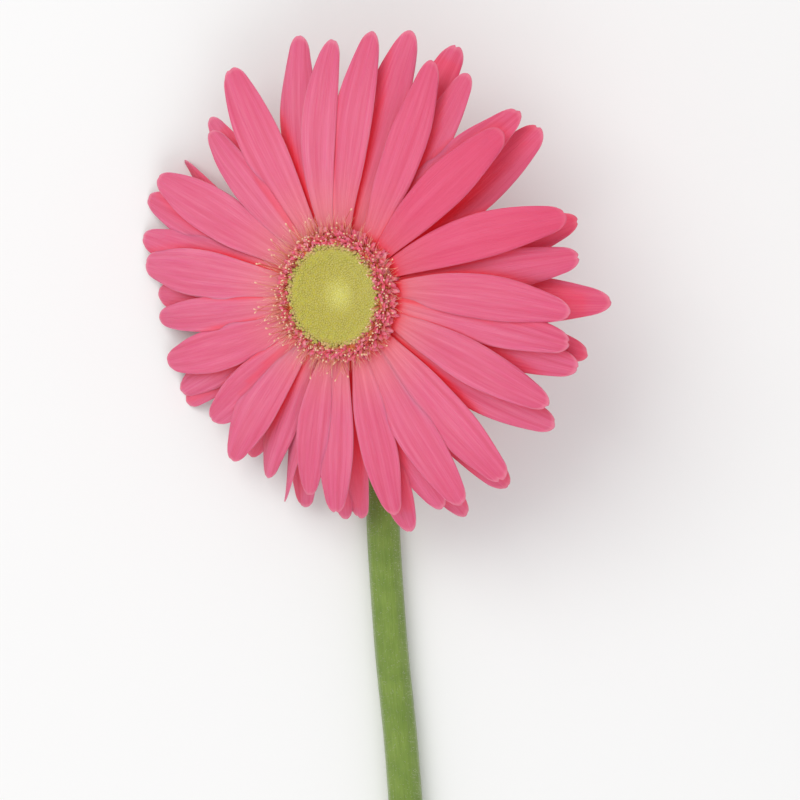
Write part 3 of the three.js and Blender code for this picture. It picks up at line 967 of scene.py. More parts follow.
class Piece:
    """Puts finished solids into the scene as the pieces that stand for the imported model's nodes."""

    def __init__(self, effects: Effects) -> None:
        """Keeps the shared effects and starts with no material made."""
        self.effects = effects
        self.made: dict[str, bpy.types.Material] = {}

    def material(self, finish: Finish) -> bpy.types.Material:
        """The material of a finish, built when it is first asked for."""
        if finish.name not in self.made:
            self.made[finish.name] = finish.build(self.effects)
        return self.made[finish.name]

    def mesh_object(self, name: str, solid: Solid, finish: Finish) -> bpy.types.Object:
        """Makes an object at the origin from a solid.

        Args:
            name: The object's name.
            solid: Its body, in millimetres.
            finish: Its finish.

        Returns:
            The object, smoothly shaded, with its places as a UV map and its marks as attributes.
        """
        mesh = bpy.data.meshes.new(name)
        mesh.vertices.add(len(solid.corners))
        mesh.vertices.foreach_set("co", (solid.corners * MM).astype(np.float32).ravel())
        mesh.loops.add(solid.faces.size)
        mesh.loops.foreach_set("vertex_index", solid.faces.astype(np.int32).ravel())
        mesh.polygons.add(len(solid.faces))
        mesh.polygons.foreach_set("loop_start", np.arange(0, solid.faces.size, 4, dtype=np.int32))
        mesh.update(calc_edges=True)
        mesh.shade_smooth()
        layer = mesh.uv_layers.new(name="place")
        layer.uv.foreach_set("vector", solid.places.astype(np.float32).ravel())
        for mark, values in solid.marks.items():
            attribute = mesh.attributes.new(mark, "FLOAT", "POINT")
            attribute.data.foreach_set("value", values.astype(np.float32))
        mesh.materials.append(self.material(finish))
        thing = bpy.data.objects.new(name, mesh)
        bpy.context.scene.collection.objects.link(thing)
        return thing

    def add(self, name: str, solid: Solid, finish: Finish, node: str, slot: str) -> None:
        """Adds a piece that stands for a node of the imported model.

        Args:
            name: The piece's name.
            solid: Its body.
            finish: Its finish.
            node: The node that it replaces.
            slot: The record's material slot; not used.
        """
        thing = self.mesh_object(name, solid, finish)
        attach(thing, "root")
        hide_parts(node)
        log.info("%s: %d faces, for %s", name, len(solid.faces), node)


@dataclass
class Part:
    """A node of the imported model, and the finer pieces that stand for it."""

    node: ClassVar[str]
    slot: ClassVar[str]
    bloom: Bloom

    def pieces(self) -> list[Dressed]:
        """The name, body and finish of each piece, in order."""
        raise NotImplementedError

    def build(self, piece: Piece) -> None:
        """Adds every piece to the scene."""
        for name, solid, finish in self.pieces():
            piece.add(name, solid, finish, self.node, self.slot)


class Layer(Enum):
    """The layers of petals, front to back: height of the root, and fall of a full-length tip."""

    FRONT = (0.9, 8.0)
    MIDDLE = (-0.3, 11.3)
    BACK = (-1.6, 14.6)


class Petal(NamedTuple):
    """A petal as it shows from above.

    root and tip are the bearings of its ends, and reach is its tip's distance. The twist grows
    towards the tip, in degrees. The lift raises it over a neighbour of its own layer, or sinks it.
    """

    root: float
    tip: float
    reach: float
    layer: Layer
    width: float
    twist: float = 0.0
    lift: float = 0.0


F, M, B = Layer.FRONT, Layer.MIDDLE, Layer.BACK
PETALS = tuple(Petal(*row) for row in (
    (346.5, 353, 59.8, M, 10), (354.5, 0.4, 58.6, F, 9, 0, 0.3), (7.8, 8.5, 61.4, F, 10, 0, -0.3),
    (18, 16.4, 63.4, M, 11.7, 0, -0.3), (33.4, 22.9, 58.6, F, 9.8, 0, -0.3), (30, 26.7, 64, B, 10.1),
    (38, 31.4, 59.6, M, 9.6, 0, -0.3), (47.6, 46, 54.2, F, 10.3, 0, 0.3),
    (43.8, 45.6, 60.2, M, 11.3, 0, 0.3), (57.8, 51.1, 61.2, B, 11),
    (64.4, 71.3, 56.6, F, 10.2, 0, 0.3), (77, 72.6, 58.8, B, 9.6), (82, 81, 57.2, M, 9.4),
    (90, 91.2, 63.8, B, 11.4), (84.5, 94, 54.6, F, 10.2, 0, 0.3), (96, 101.8, 55.4, F, 9.6, 0, -0.9),
    (98, 103, 60, B, 9.8), (104.4, 106.3, 58.6, M, 9.8), (111, 116.6, 55.4, F, 9.8, 0, 0.2),
    (122.8, 120.3, 59, M, 9.8), (131.4, 137, 57.4, F, 11), (134.8, 137.3, 59.2, B, 9.6),
    (144, 148.2, 56.2, F, 10.4), (149.6, 148.6, 58.8, B, 10.2), (154, 152.4, 54.6, M, 9.2),
    (156, 163.9, 51.8, F, 9.4, 0, 0.2), (157.4, 161.6, 56.6, M, 9.8), (168, 172.6, 51, B, 9),
    (172.6, 179.1, 49.2, F, 9), (174, 176.5, 50.8, B, 8.6), (184.6, 186.3, 45.4, F, 8.6),
    (189.5, 187.6, 48.4, B, 9.2), (189.4, 193, 48, M, 5.6, 62), (201.4, 199.4, 43.5, M, 9.4, 30),
    (213.8, 211.5, 43.6, F, 10.8), (206, 207, 40.7, B, 9), (218, 224, 39.6, F, 10, -22, -0.4),
    (234, 233.6, 40.7, B, 8.1), (237, 238, 40.6, M, 9.6), (239.4, 248.5, 40.2, F, 10.4, 0, 0.2),
    (260.4, 263, 39.8, F, 8.1, 0, -0.2), (267, 271, 39.5, B, 9.4),
    (281.6, 279.8, 42.8, F, 11.3, 0, 0.3), (287, 287.5, 44.9, M, 11), (302, 298.2, 47.4, M, 10.6),
    (310.4, 304, 47.8, F, 11.4), (305.4, 313, 45.6, B, 7, -50), (326.4, 323.6, 46.4, F, 8.3),
    (326.8, 325.6, 49.2, M, 9.4), (339.2, 336, 56.6, F, 11.2, 0, 0.4),
))


@dataclass
class RayFlorets(Part):
    """The large petals in their three layers."""

    node: ClassVar[str] = "ray_florets"
    slot: ClassVar[str] = "petal"
    root_radius: float = 12.5
    full_radius: float = 58.0
    root_seen_at: float = 18.3
    arch: float = 3.2
    root_share: float = 0.36
    widest_at: float = 0.64
    swell: float = 1.2
    taper: float = 1.8
    tip_share: float = 0.60
    tip_crowding: float = 1.35
    tip_turn: float = 0.75
    dome: float = 0.075
    dome_spread: Range = (0.8, 1.5)
    notch_depth: Range = (0.001, 0.014)
    notch_place: Range = (-0.3, 0.3)
    notch_width: float = 0.10
    slope_step: float = 0.01
    stray_twist: Range = (-3, 3)
    stray_from: Range = (0.1, 0.6)
    groove_places: tuple[float, ...] = (-0.62, -0.30, 0.05, 0.36, 0.66)
    groove_stray: float = 0.08
    groove_width: float = 0.09
    groove_depth: Range = (0.1, 1.0)
    groove_from: Range = (0.05, 0.35)
    groove_sink: float = 0.15
    crown: Range = (0.2, 0.75)
    crown_slope: float = 4.0
    lift_from: Range = (0.05, 0.5)
    edge_curl: Range = (-0.35, 0.5)
    curl_from: Range = (0.2, 0.8)
    wave_height: Range = (0.05, 0.28)
    wave_count: Range = (0.8, 1.6)
    wave_from: Range = (0.1, 0.5)
    frill_height: Range = (0.0, 0.3)
    frill_count: Range = (2, 3.5)
    thickness: float = 0.5
    edge_thickness: float = 0.35
    end_thickness: float = 0.5
    tip_thins: Range = (0.85, 1.0)
    root_thins: Range = (0.0, 0.3)
    lift_layers: float = 0.25
    least_layers: float = 0.2
    shade_depth: float = 1.4
    shade_reach: float = 0.6
    shade_short_of_tip: float = 0.5
    fringe_reach: float = 15.7
    fringe_shade: float = 0.9
    lee_bearing: float = 85.0
    flush_bearing: float = 57.0
    flush_share: float = 0.75
    flush_stray: Range = (-0.1, 0.25)
    back_flush: float = 0.45
    ring_outline: tuple[tuple[float, float], ...] = (
        (11.5, -2.5), (13.2, -2.6), (14.9, -2.2), (15.0, 1.1), (14.4, 1.5), (11.5, 1.4),
        (11.45, -0.5), (11.5, -2.5))
    # Painted shade laid evenly over the ring that carries the petals.
    ring_cover: float = 0.6
    stations: int = 40
    lanes: int = 15
    seed: int = 11

    def centre_line(self, root: Array, tip: Array, height: Array, along: Array) -> Array:
        """Middle lines of petals.

        The bearing and radius go evenly from root to tip. The height does too, plus an arch that is
        highest halfway: four times its rise, times the share along, times what is left of it.

        Args:
            root: Seen points at the roots, (petals, 3).
            tip: Points at the tips, (petals, 3).
            height: Heights of the roots, (petals,).
            along: Shares along, (petals, stations, lanes).

        Returns:
            Points in the bloom's frame, shaped as along with 3 more.
        """
        start, end, radius, height, tip_height = (value[:, None, None] for value in (
            bearing_of(root), bearing_of(tip), radius_of(tip), height, tip[:, 2]))
        return at_bearing(
            start + short_way(end - start) * along,
            self.root_radius + (radius - self.root_radius) * along,
            height * (1 - along) + tip_height * along + self.arch * 4 * along * (1 - along))

    def petals(self) -> Solid:
        """All the petals.

        Across a petal the lanes are sines of even angles. Each lane ends where the round tip's
        outline is: short of the full length by the dome times one less the angle's cosine, with
        small notches. The blade lies about its middle line, twisted, and with its own relief.

        Returns:
            The petals, marked with a seed, flush, grooves, painted shade and which face is the
            underside.
        """
        rng = np.random.default_rng(self.seed)
        count = len(PETALS)
        own = partial(rng.uniform, size=(count, 1, 1))
        numbers = np.array([(*petal[:3], *petal.layer.value, *petal[4:]) for petal in PETALS], float)
        root_bearing, tip_bearing, reach, root_height, fall, width, twist, raised = numbers.T
        root, tip = (self.bloom.seen_from_above(bearing, far, root_height, fall,
                                                (self.root_radius, self.full_radius))
                     for bearing, far in ((root_bearing, np.full(count, self.root_seen_at)),
                                          (tip_bearing, reach)))

        run = (1 - (1 - np.linspace(0, 1, self.stations)) ** self.tip_crowding)[None, :, None]
        side_turn = np.pi / 2 * self.tip_turn
        turn = np.linspace(-side_turn, side_turn, self.lanes)[None, None, :]
        lane = np.sin(turn) / np.sin(side_turn)
        notch = own(*self.notch_depth) * bell(lane, own(*self.notch_place), self.notch_width)
        along = run * (1 - self.dome * own(*self.dome_spread) * (1 - np.cos(turn))
                     / (1 - np.cos(side_turn)) - notch)
        centre, behind, ahead = (self.centre_line(root, tip, root_height, along + step)
                                 for step in (0, -self.slope_step, self.slope_step))
        forward = unit(ahead - behind)
        side = unit(np.cross(forward, UP))
        up = np.cross(side, forward)
        roll = twist[:, None, None] * along**2 \
            + own(*self.stray_twist) * smoothstep(*self.stray_from, along)
        side, up = turned_about(side, forward, roll), turned_about(up, forward, roll)
        groove, lift = self.relief(own, lane, run, along)
        lift = lift + raised[:, None, None] * smoothstep(*self.lift_from, run)
        half = width[:, None, None] / 2 * self.width_share(run)
        middle = surface(centre, side, up, half * lane, lift)

        thick = self.thickness * (self.edge_thickness + (1 - self.edge_thickness)
                                  * np.sqrt(np.clip(1 - lane**4, 0, 1))) \
            * (1 - self.end_thickness * smoothstep(*self.tip_thins, run)) \
            * (1 + self.end_thickness * (1 - smoothstep(*self.root_thins, run)))
        thick = np.broadcast_to(thick, along.shape)
        world = self.bloom.to_world(middle)
        world[..., 2] = np.maximum(world[..., 2], thick / 2)
        rings = blade_rings(world, self.bloom.turned(up), thick)
        rings[..., 2] = np.maximum(rings[..., 2], 0.0)

        # How deeply nearer petals shade each point, for the painted shade.
        cover = self.cover(middle, root, tip, width)
        flush = np.clip(np.cos(np.radians(tip_bearing - self.flush_bearing)), 0, 1) ** 4
        front = np.array([1.0 if petal.layer is F else self.back_flush for petal in PETALS])
        stray = rng.uniform(*self.flush_stray, count)
        flush = np.clip(self.flush_share * flush + stray, 0, 1) * front
        return strands(rings, run[0, :, 0], blade_shares(lane[0, 0]), seed=rng.uniform(0, 1, count),
                       flush=flush, groove=np.concatenate([groove, groove[:, :, ::-1]], axis=2),
                       cover=np.concatenate([cover, cover[:, :, ::-1]], axis=2),
                       underside=np.broadcast_to(np.repeat([0.0, 1.0], self.lanes), rings.shape[:3]))

    def relief(self, own: Draw, lane: Array, run: Array, along: Array) -> tuple[Array, Array]:
        """How the blades lie over their middle lines.

        Each has a crown that falls with the square of the way across, grooves along it, edges that
        curl with the fourth power, a slow wave along, and a finer one in the edges.

        Args:
            own: Draws one number for each petal.
            lane: The way across, from -1 to 1, (1, 1, lanes).
            run: The share along to each lane's own end, (1, stations, 1).
            along: The share along the whole petal, (petals, stations, lanes).

        Returns:
            The depth of the grooves from 0 to 1, and the height, each shaped as along.
        """
        def phase(waves: Range) -> Array:
            """The turns of waves along a petal, from a start of its own."""
            return 2 * np.pi * (own(*waves) * along + own(0, 1))

        groove = sum(own(*self.groove_depth)
                     * bell(lane, own(place - self.groove_stray, place + self.groove_stray),
                            self.groove_width) for place in self.groove_places)
        groove = groove * smoothstep(*self.groove_from, run)
        height = own(*self.crown) * (1 - lane**2) * np.minimum(1, self.crown_slope * run) \
            - self.groove_sink * groove
        curl = own(*self.edge_curl) * np.clip(lane, 0, None) ** 4 \
            + own(*self.edge_curl) * np.clip(-lane, 0, None) ** 4
        wave = own(*self.wave_height) * np.sin(phase(self.wave_count))
        frill = own(*self.frill_height) * np.abs(lane) ** 3 * np.sin(phase(self.frill_count) + lane)
        return groove, (height + curl * smoothstep(*self.curl_from, run)
                        + wave * smoothstep(*self.wave_from, run) + frill)

    def width_share(self, along: Array) -> Array:
        """Share of the full width: a sine that swells to the widest place, then a taper.

        Args:
            along: Shares along the petal, of any shape.

        Returns:
            Shares of the width, shaped the same.
        """
        grow = np.sin(np.clip(along / self.widest_at, 0, 1) * np.pi / 2) ** self.swell
        close = np.clip(along - self.widest_at, 0, None) / (1 - self.widest_at)
        return (self.root_share + (1 - self.root_share) * grow) \
            * (1 - (1 - self.tip_share) * close**self.taper)

    def cover(self, points: Array, root: Array, tip: Array, width: Array) -> Array:
        """How deep each point lies in the shade of the petals of a nearer layer.

        A petal covers a point by e to the power of less the distance from the petal's side edge
        over the shade's reach, and not past its tip. Depth and reach grow with the layers between,
        and a raised or sunk petal stands a part of a layer nearer or farther. The deepest counts.
        The fringe's shadow on the roots on the right is painted in the same way.

        Args:
            points: Points of the petals' middle surfaces, (petals, stations, lanes, 3).
            root: Seen points at the roots, (petals, 3).
            tip: Points at the tips, (petals, 3).
            width: Widths of the petals, (petals,).

        Returns:
            Numbers from 0 to 1, (petals, stations, lanes).
        """
        layer = np.array([list(Layer).index(petal.layer) - self.lift_layers * np.sign(petal.lift)
                          for petal in PETALS])
        bearing, radius = bearing_of(points), radius_of(points)
        start, length = bearing_of(root), radius_of(tip) - self.root_radius
        swing = short_way(bearing_of(tip) - start)
        # Painted shade of the fringe on the petals' roots, strongest at the lee bearing.
        rightness = np.cos(np.radians(bearing - self.lee_bearing) / 2) ** 4
        shade = rightness * np.exp(-np.clip(radius - self.fringe_reach, 0, None) / self.fringe_shade)
        for other in range(len(PETALS)):
            below = layer > layer[other] + self.least_layers
            between = (layer[below] - layer[other])[:, None, None]
            along = (radius[below] - self.root_radius) / length[other]
            apart = short_way(bearing[below] - start[other] - swing[other] * along)
            side = np.radians(np.abs(apart)) * radius[below] \
                - width[other] / 2 * self.width_share(np.clip(along, 0, 1))
            past = (along - 1) * length[other] + self.shade_short_of_tip
            beyond = np.clip(np.maximum(side, past), 0, None)
            shade[below] = np.maximum(shade[below], np.minimum(1, self.shade_depth * between)
                                      * np.exp(-beyond / self.shade_reach / between))
        return shade

    def pieces(self) -> list[Dressed]:
        """The petals, and the rounded ring that carries them.

        Returns:
            The name, body and finish of each piece.
        """
        finish = PetalFinish("petal_skin", roughness=0.55, subsurface=0.3,
                             subsurface_depth=0.8, subsurface_tint=(1.0, 0.55, 0.5), specular=0.25)
        ring = self.bloom.carry(lathe(self.ring_outline, steps=40), seed=0.0, groove=0.0,
                                cover=self.ring_cover, flush=0.0, underside=1.0)
        return [("petals", self.petals(), finish), ("petal_ring", ring, finish)]


@dataclass
class TransFlorets(Part):
    """The fringe: tongues, the styles that stand among them, and the bristles below them.

    A tongue row has its count, and the root's radius and height, rise, spread and width of each.
    """

    node: ClassVar[str] = "trans_florets"
    slot: ClassVar[str] = "fringe"
    tongue_rows: tuple[Row, ...] = (
        (84, 13.5, 2.4, 1.7, 2.4, 0.88),
        (84, 13.4, 2.6, 2.2, 1.9, 0.88),
        (80, 13.1, 2.8, 2.8, 1.4, 0.85),
        (76, 12.8, 3.0, 3.2, 1.0, 0.85),
        (72, 12.5, 3.0, 3.5, 0.6, 0.82),
        (66, 12.2, 3.0, 3.6, 0.2, 0.78),
        (60, 11.9, 3.1, 3.2, -0.2, 0.74),
    )
    tongue_stations: int = 7
    tongue_stray: Range = (-3.0, 3.0)
    tongue_sweep: Range = (-9, 9)
    tongue_shift: Range = (-0.3, 0.3)
    tongue_spread: Range = (0.6, 1.25)
    tongue_length: Range = (0.7, 1.2)
    tongue_curl: Range = (0.5, 2.0)
    tongue_roll: Range = (-25, 25)
    tongue_foot: float = 0.55
    tongue_trough: float = 0.22
    trough_spread: Range = (0.2, 1.4)
    tongue_tip: float = 0.75
    tongue_thickness: float = 0.28
    style_count: int = 230
    style_place: Range = (-1.5, 1.5)
    style_lean: Range = (-0.15, 1.0)
    style_radius: float = 11.9
    lean_shift: float = 1.6
    lean_reach: float = 2.3
    style_foot: float = 2.6
    style_rise: float = 4.6
    lean_fall: float = 2.3
    style_stray: Range = (-0.7, 0.9)
    style_sweep: float = 6.0
    style_spread: Range = (0.7, 1.25)
    style_along: tuple[float, ...] = (0, 0.5, 0.86, 0.92, 0.97, 1.0)
    style_girth: tuple[float, ...] = (0.09, 0.09, 0.10, 0.19, 0.18, 0.07)
    far_style_count: int = 36
    far_bearing: Range = (275, 65)
    far_radius: float = 14.0
    far_reach: Range = (2.5, 7.0)
    far_foot: float = 3.2
    far_rise: Range = (1.2, 3.2)
    far_sweep: float = 7.0
    far_spread: Range = (0.8, 1.2)
    far_along: tuple[float, ...] = (0, 0.5, 0.9, 0.95, 0.98, 1.0)
    far_girth: tuple[float, ...] = (0.07, 0.07, 0.07, 0.19, 0.18, 0.06)
    bristle_count: int = 520
    bristle_roots: tuple[Range, Range] = ((12.6, 13.5), (2.0, 3.2))
    bristle_length: Range = (1.6, 4.2)
    left_bearing: float = 280.0
    left_length: Range = (0.5, 4.5)
    bristle_from: tuple[float, float] = (13.2, 2.6)
    bristle_sweep: Range = (-8, 8)
    bristle_rise: Range = (0.0, 3.2)
    bristle_bow: Range = (0.1, 0.9)
    bristle_girth: float = 0.055
    upright_count: int = 1100
    upright_band: Range = (11.6, 14.0)
    upright_within: float = 13.3
    upright_foot: float = 2.9
    upright_tops: Range = (5.2, 6.9)
    upright_fall: float = 0.9
    upright_sweep: Range = (-5, 5)
    upright_out: Range = (-0.3, 1.4)
    upright_bow: float = 0.15
    upright_girth: float = 0.08
    ring_outline: tuple[tuple[float, float], ...] = (
        (11.5, 1.8), (12.8, 1.75), (13.6, 2.4), (13.4, 3.2), (12.4, 4.1), (11.6, 4.5),
        (11.45, 4.3), (11.45, 2.5), (11.5, 1.8))
    seed: int = 7

    def tongues(self, rng: np.random.Generator) -> Solid:
        """Tongues in rows from the outside in.

        A tongue's middle line goes out by its spread, slowly at first, and up by its rise, less a
        curl with the cube of the share along. It widens from a narrow foot, its middle sinks into a
        trough, and its blunt tip closes with the sixth power of the share along.

        Args:
            rng: Draws each tongue's own place and bend.

        Returns:
            The tongues as one solid.
        """
        place, root_radius, root_height, rise, spread, width = ranks(
            self.tongue_rows, 1 / len(self.tongue_rows))
        own = partial(rng.uniform, size=place.shape)
        foot = self.tongue_foot
        along = np.linspace(0, 1, self.tongue_stations)[None]
        bearing = place + own(*self.tongue_stray) + own(*self.tongue_sweep) * along**1.5
        radius = root_radius + own(*self.tongue_shift) \
            + spread * own(*self.tongue_spread) * along * (foot + (1 - foot) * along)
        curl = own(*self.tongue_curl)
        height = root_height + rise * own(*self.tongue_length) * along - curl * along**3
        centres = at_bearing(bearing, radius, height)
        forward, side, up = directions(centres, UP)
        roll = own(*self.tongue_roll) * along
        side, up = turned_about(side, forward, roll), turned_about(up, forward, roll)
        half = width / 2 * (foot + (1 - foot) * smoothstep(0, 0.6, along)) \
            * np.sqrt(1 - self.tongue_tip * along**6)
        lanes = np.array([-1.0, 0.0, 1.0])
        trough = (self.tongue_trough * own(*self.trough_spread) * along)[..., None] * (1 - lanes**2)
        middle = surface(centres[:, :, None], side[:, :, None], up[:, :, None],
                         half[..., None] * lanes, -trough)
        rings = blade_rings(middle, up[:, :, None], self.tongue_thickness)
        return self.bloom.carry(strands(rings, along[0], blade_shares(lanes),
                                        seed=rng.uniform(0, 1, len(place))))

    def styles(self, rng: np.random.Generator) -> Solid:
        """Slim styles with small round heads, even round the fringe, from upright to leaning out.

        Args:
            rng: Draws each one's place, length and lean.

        Returns:
            The styles as one solid.
        """
        count = self.style_count
        own = partial(rng.uniform, size=(count, 1))
        along = np.array(self.style_along)[None]
        bearing = (np.arange(count) * 360 / count)[:, None] + own(*self.style_place)
        lean = own(*self.style_lean)
        radius = self.style_radius + self.lean_shift * np.abs(lean) \
            + self.lean_reach * lean * along**1.3
        rise = self.style_rise - self.lean_fall * lean + own(*self.style_stray)
        return self.headed(rng, along, (bearing, radius, self.style_foot + along * rise),
                           self.style_sweep, self.style_girth, self.style_spread)

    def far_styles(self, rng: np.random.Generator) -> Solid:
        """Longer styles that have fallen outwards over the petals, most of them on the left.

        Args:
            rng: Draws each one's place, length and lean.

        Returns:
            The styles as one solid.
        """
        shape = (self.far_style_count, 1)
        along = np.array(self.far_along)[None]
        bearing = rng.normal(*self.far_bearing, shape)
        radius = self.far_radius + rng.uniform(*self.far_reach, shape) * along
        height = self.far_foot + rng.uniform(*self.far_rise, shape) * along
        return self.headed(rng, along, (bearing, radius, height),
                           self.far_sweep, self.far_girth, self.far_spread)

    def headed(self, rng: np.random.Generator, along: Array, course: tuple[Array, Array, Array],
               sweep: float, girth: Sequence[float], spread: Range) -> Solid:
        """Slim tubes that sweep aside with the square of the share along.

        Args:
            rng: Draws each one's sweep and girth.
            along: The share along of each ring, (1, stations).
            course: Bearing, radius and height, fitting (tubes, stations).
            sweep: How far a tip may sweep to either side, in degrees.
            girth: Radius of each ring, widest in the round head.
            spread: The least and most that a tube's girth is multiplied by.

        Returns:
            The tubes as one solid.
        """
        bearing, radius, height = course
        own = partial(rng.uniform, size=(len(bearing), 1))
        centres = at_bearing(bearing + own(-sweep, sweep) * along**2, radius, height)
        rings = tube_rings(centres, np.array(girth) * own(*spread), sides=6)
        return self.bloom.carry(strands(rings, along[0], seed=rng.uniform(0, 1, len(bearing))))

    def bristles(self, rng: np.random.Generator) -> Solid:
        """Bristles that radiate from below the tongues, out over the roots of the petals.

        They are long on the left, by one plus the cosine of the bearing from there, and short on
        the right.

        Args:
            rng: Draws each one's place, length and lean.

        Returns:
            The bristles as one solid.
        """
        own = partial(rng.uniform, size=self.bristle_count)
        bearing = own(0, 360)
        root = at_bearing(bearing, *(own(*band) for band in self.bristle_roots))
        leftness = (1 + np.cos(np.radians(bearing - self.left_bearing))) / 2
        length = own(*self.bristle_length) + leftness * own(*self.left_length)
        radius, height = self.bristle_from
        tip = at_bearing(bearing + own(*self.bristle_sweep), radius + length,
                         height + own(*self.bristle_rise))
        bend = at_bearing(bearing, np.zeros_like(bearing), own(*self.bristle_bow))
        return hairs(self.bloom.to_world(root), self.bloom.to_world(tip), self.bloom.turned(bend),
                     self.bristle_girth)

    def upright_bristles(self, rng: np.random.Generator) -> Solid:
        """Short bristles that stand up between the tongues, lower towards the outside.

        Args:
            rng: Draws each one's place, length and lean.

        Returns:
            The bristles as one solid.
        """
        own = partial(rng.uniform, size=self.upright_count)
        bearing, radius = own(0, 360), own(*self.upright_band)
        root = at_bearing(bearing, np.minimum(radius, self.upright_within),
                          np.full_like(bearing, self.upright_foot))
        fall = self.upright_fall * (radius - self.upright_band[0])
        tip = at_bearing(bearing + own(*self.upright_sweep), radius + own(*self.upright_out),
                         own(*self.upright_tops) - fall)
        bend = rng.normal(0, self.upright_bow, root.shape)
        return hairs(self.bloom.to_world(root), self.bloom.to_world(tip), bend, self.upright_girth)

    def pieces(self) -> list[Dressed]:
        """The ring that carries the fringe, and then what stands on it.

        Returns:
            The name, body and finish of each piece.
        """
        rng = np.random.default_rng(self.seed)
        tongue = TongueFinish("tongue_skin", subsurface=0.35, subsurface_tint=(1.0, 0.6, 0.55))
        style = StrandFinish("style_skin", roughness=0.5, root=(0.62, 0.08, 0.06),
                             other=(0.75, 0.28, 0.16), tip=(0.93, 0.64, 0.42), turn_at=0.84)
        upright = StrandFinish("upright_bristle_skin", root=(0.90, 0.34, 0.10),
                               other=(0.92, 0.56, 0.22), tip=(0.93, 0.66, 0.38), turn_at=0.6)
        bristle = StrandFinish("bristle_skin", root=(0.86, 0.28, 0.17),
                               other=(0.88, 0.46, 0.27), tip=(0.93, 0.60, 0.45), turn_at=0.5)
        ring = self.bloom.carry(lathe(self.ring_outline, steps=30), seed=0.0)
        return [
            ("fringe_ring", ring, upright),
            ("fringe_tongues", self.tongues(rng), tongue),
            ("fringe_styles", self.styles(rng) + self.far_styles(rng), style),
            ("fringe_bristles", self.bristles(rng), bristle),
            ("fringe_upright_bristles", self.upright_bristles(rng), upright),
        ]


@dataclass
class DiscFlorets(Part):
    """The dished disc and its closed buds."""

    node: ClassVar[str] = "disc_florets"
    slot: ClassVar[str] = "disc"
    radius: float = 11.0
    side_outline: tuple[tuple[float, float], ...] = (
        (0.0, -2.6), (6.0, -2.6), (10.9, -2.6), (11.0, -1.0), (11.3, 4.0), (11.25, 4.5))
    dish_edge: float = 0.97
    dish_sink: float = 0.05
    centre_height: float = 1.9
    rim_height: float = 5.0
    bud_count: int = 1350
    golden_angle: float = 137.508
    bud_reach: float = 11.4
    bud_stray: tuple[float, float] = (0.11, 0.10)
    rim_bud_count: int = 190
    rim_band: Range = (11.2, 12.1)
    bud_size: float = 0.40
    size_spread: Range = (0.88, 1.1)
    bud_rise: tuple[float, float] = (0.16, 0.28)
    rise_spread: Range = (0.7, 1.3)
    bud_depth: float = 0.35
    bud_lean: Range = (-0.5, 0.3)
    bud_shape: tuple[tuple[float, float], ...] = ((0.0, 1.0), (0.5, 0.92), (0.82, 0.55), (1.0, 0.12))
    seed: int = 5

    def height(self, out: Array) -> Array:
        """The dish's height, which rises with the square of the share out."""
        return self.centre_height + (self.rim_height - self.centre_height) * out**2

    def dish(self) -> Solid:
        """The body under the buds: a lathe from its foot up the side and over the dish.

        Returns:
            The dish, marked with how far out each corner is, and all of it at the foot of a bud.
        """
        out = np.linspace(self.dish_edge, 0.0, 8)
        dish = zip(self.radius * out, self.height(out) - self.dish_sink)
        solid = lathe([*self.side_outline, *dish], steps=60)
        solid.places[..., 1] = 0.0
        return self.bloom.carry(solid, seed=0.5, out=radius_of(solid.corners) / self.radius)

    def buds(self, rng: np.random.Generator) -> Solid:
        """Buds set in the spirals of a flower head.

        Bud k stands k golden angles round, at the square root of its share of the count, so that
        every bud has the same room. The half-open buds of the rim stand anywhere in a narrow band.
        Each bud is a pointed dome.

        Args:
            rng: Draws each bud's own height and lean.

        Returns:
            The buds as one solid.
        """
        number = np.arange(self.bud_count)
        out = np.sqrt((number + 0.5) / self.bud_count)
        round_stray, out_stray = self.bud_stray
        bearing = number * self.golden_angle \
            + rng.normal(0, round_stray, self.bud_count) / np.radians(out * self.radius)
        radius = out * self.bud_reach + rng.normal(0, out_stray, self.bud_count)
        bearing = np.append(bearing, rng.uniform(0, 360, self.rim_bud_count))
        radius = np.append(radius, rng.uniform(*self.rim_band, self.rim_bud_count))
        out = np.append(out, np.ones(self.rim_bud_count))
        own = partial(rng.uniform, size=len(out))
        size = self.bud_size * own(*self.size_spread)
        tall = (self.bud_rise[0] + self.bud_rise[1] * out**2) * own(*self.rise_spread)
        foot = at_bearing(bearing, radius, self.height(out) - self.bud_depth)
        lean = at_bearing(bearing, own(*self.bud_lean) * out, np.ones_like(out))
        along, share = np.array(self.bud_shape).T
        rise = (tall[:, None] + self.bud_depth) * along
        centres = foot[:, None] + lean[:, None] * rise[..., None]
        rings = tube_rings(centres, size[:, None] * share, sides=6)
        return self.bloom.carry(strands(rings, along, seed=own(0, 1), out=out))

    def pieces(self) -> list[Dressed]:
        """The dish and its buds.

        Returns:
            The name, body and finish of each piece.
        """
        finish = DiscFinish("disc_skin", roughness=0.8, sheen=0.3, subsurface=0.2,
                            subsurface_tint=(1.0, 0.95, 0.6), specular=0.15)
        buds = self.buds(np.random.default_rng(self.seed))
        return [("disc_dish", self.dish(), finish), ("disc_buds", buds, finish)]


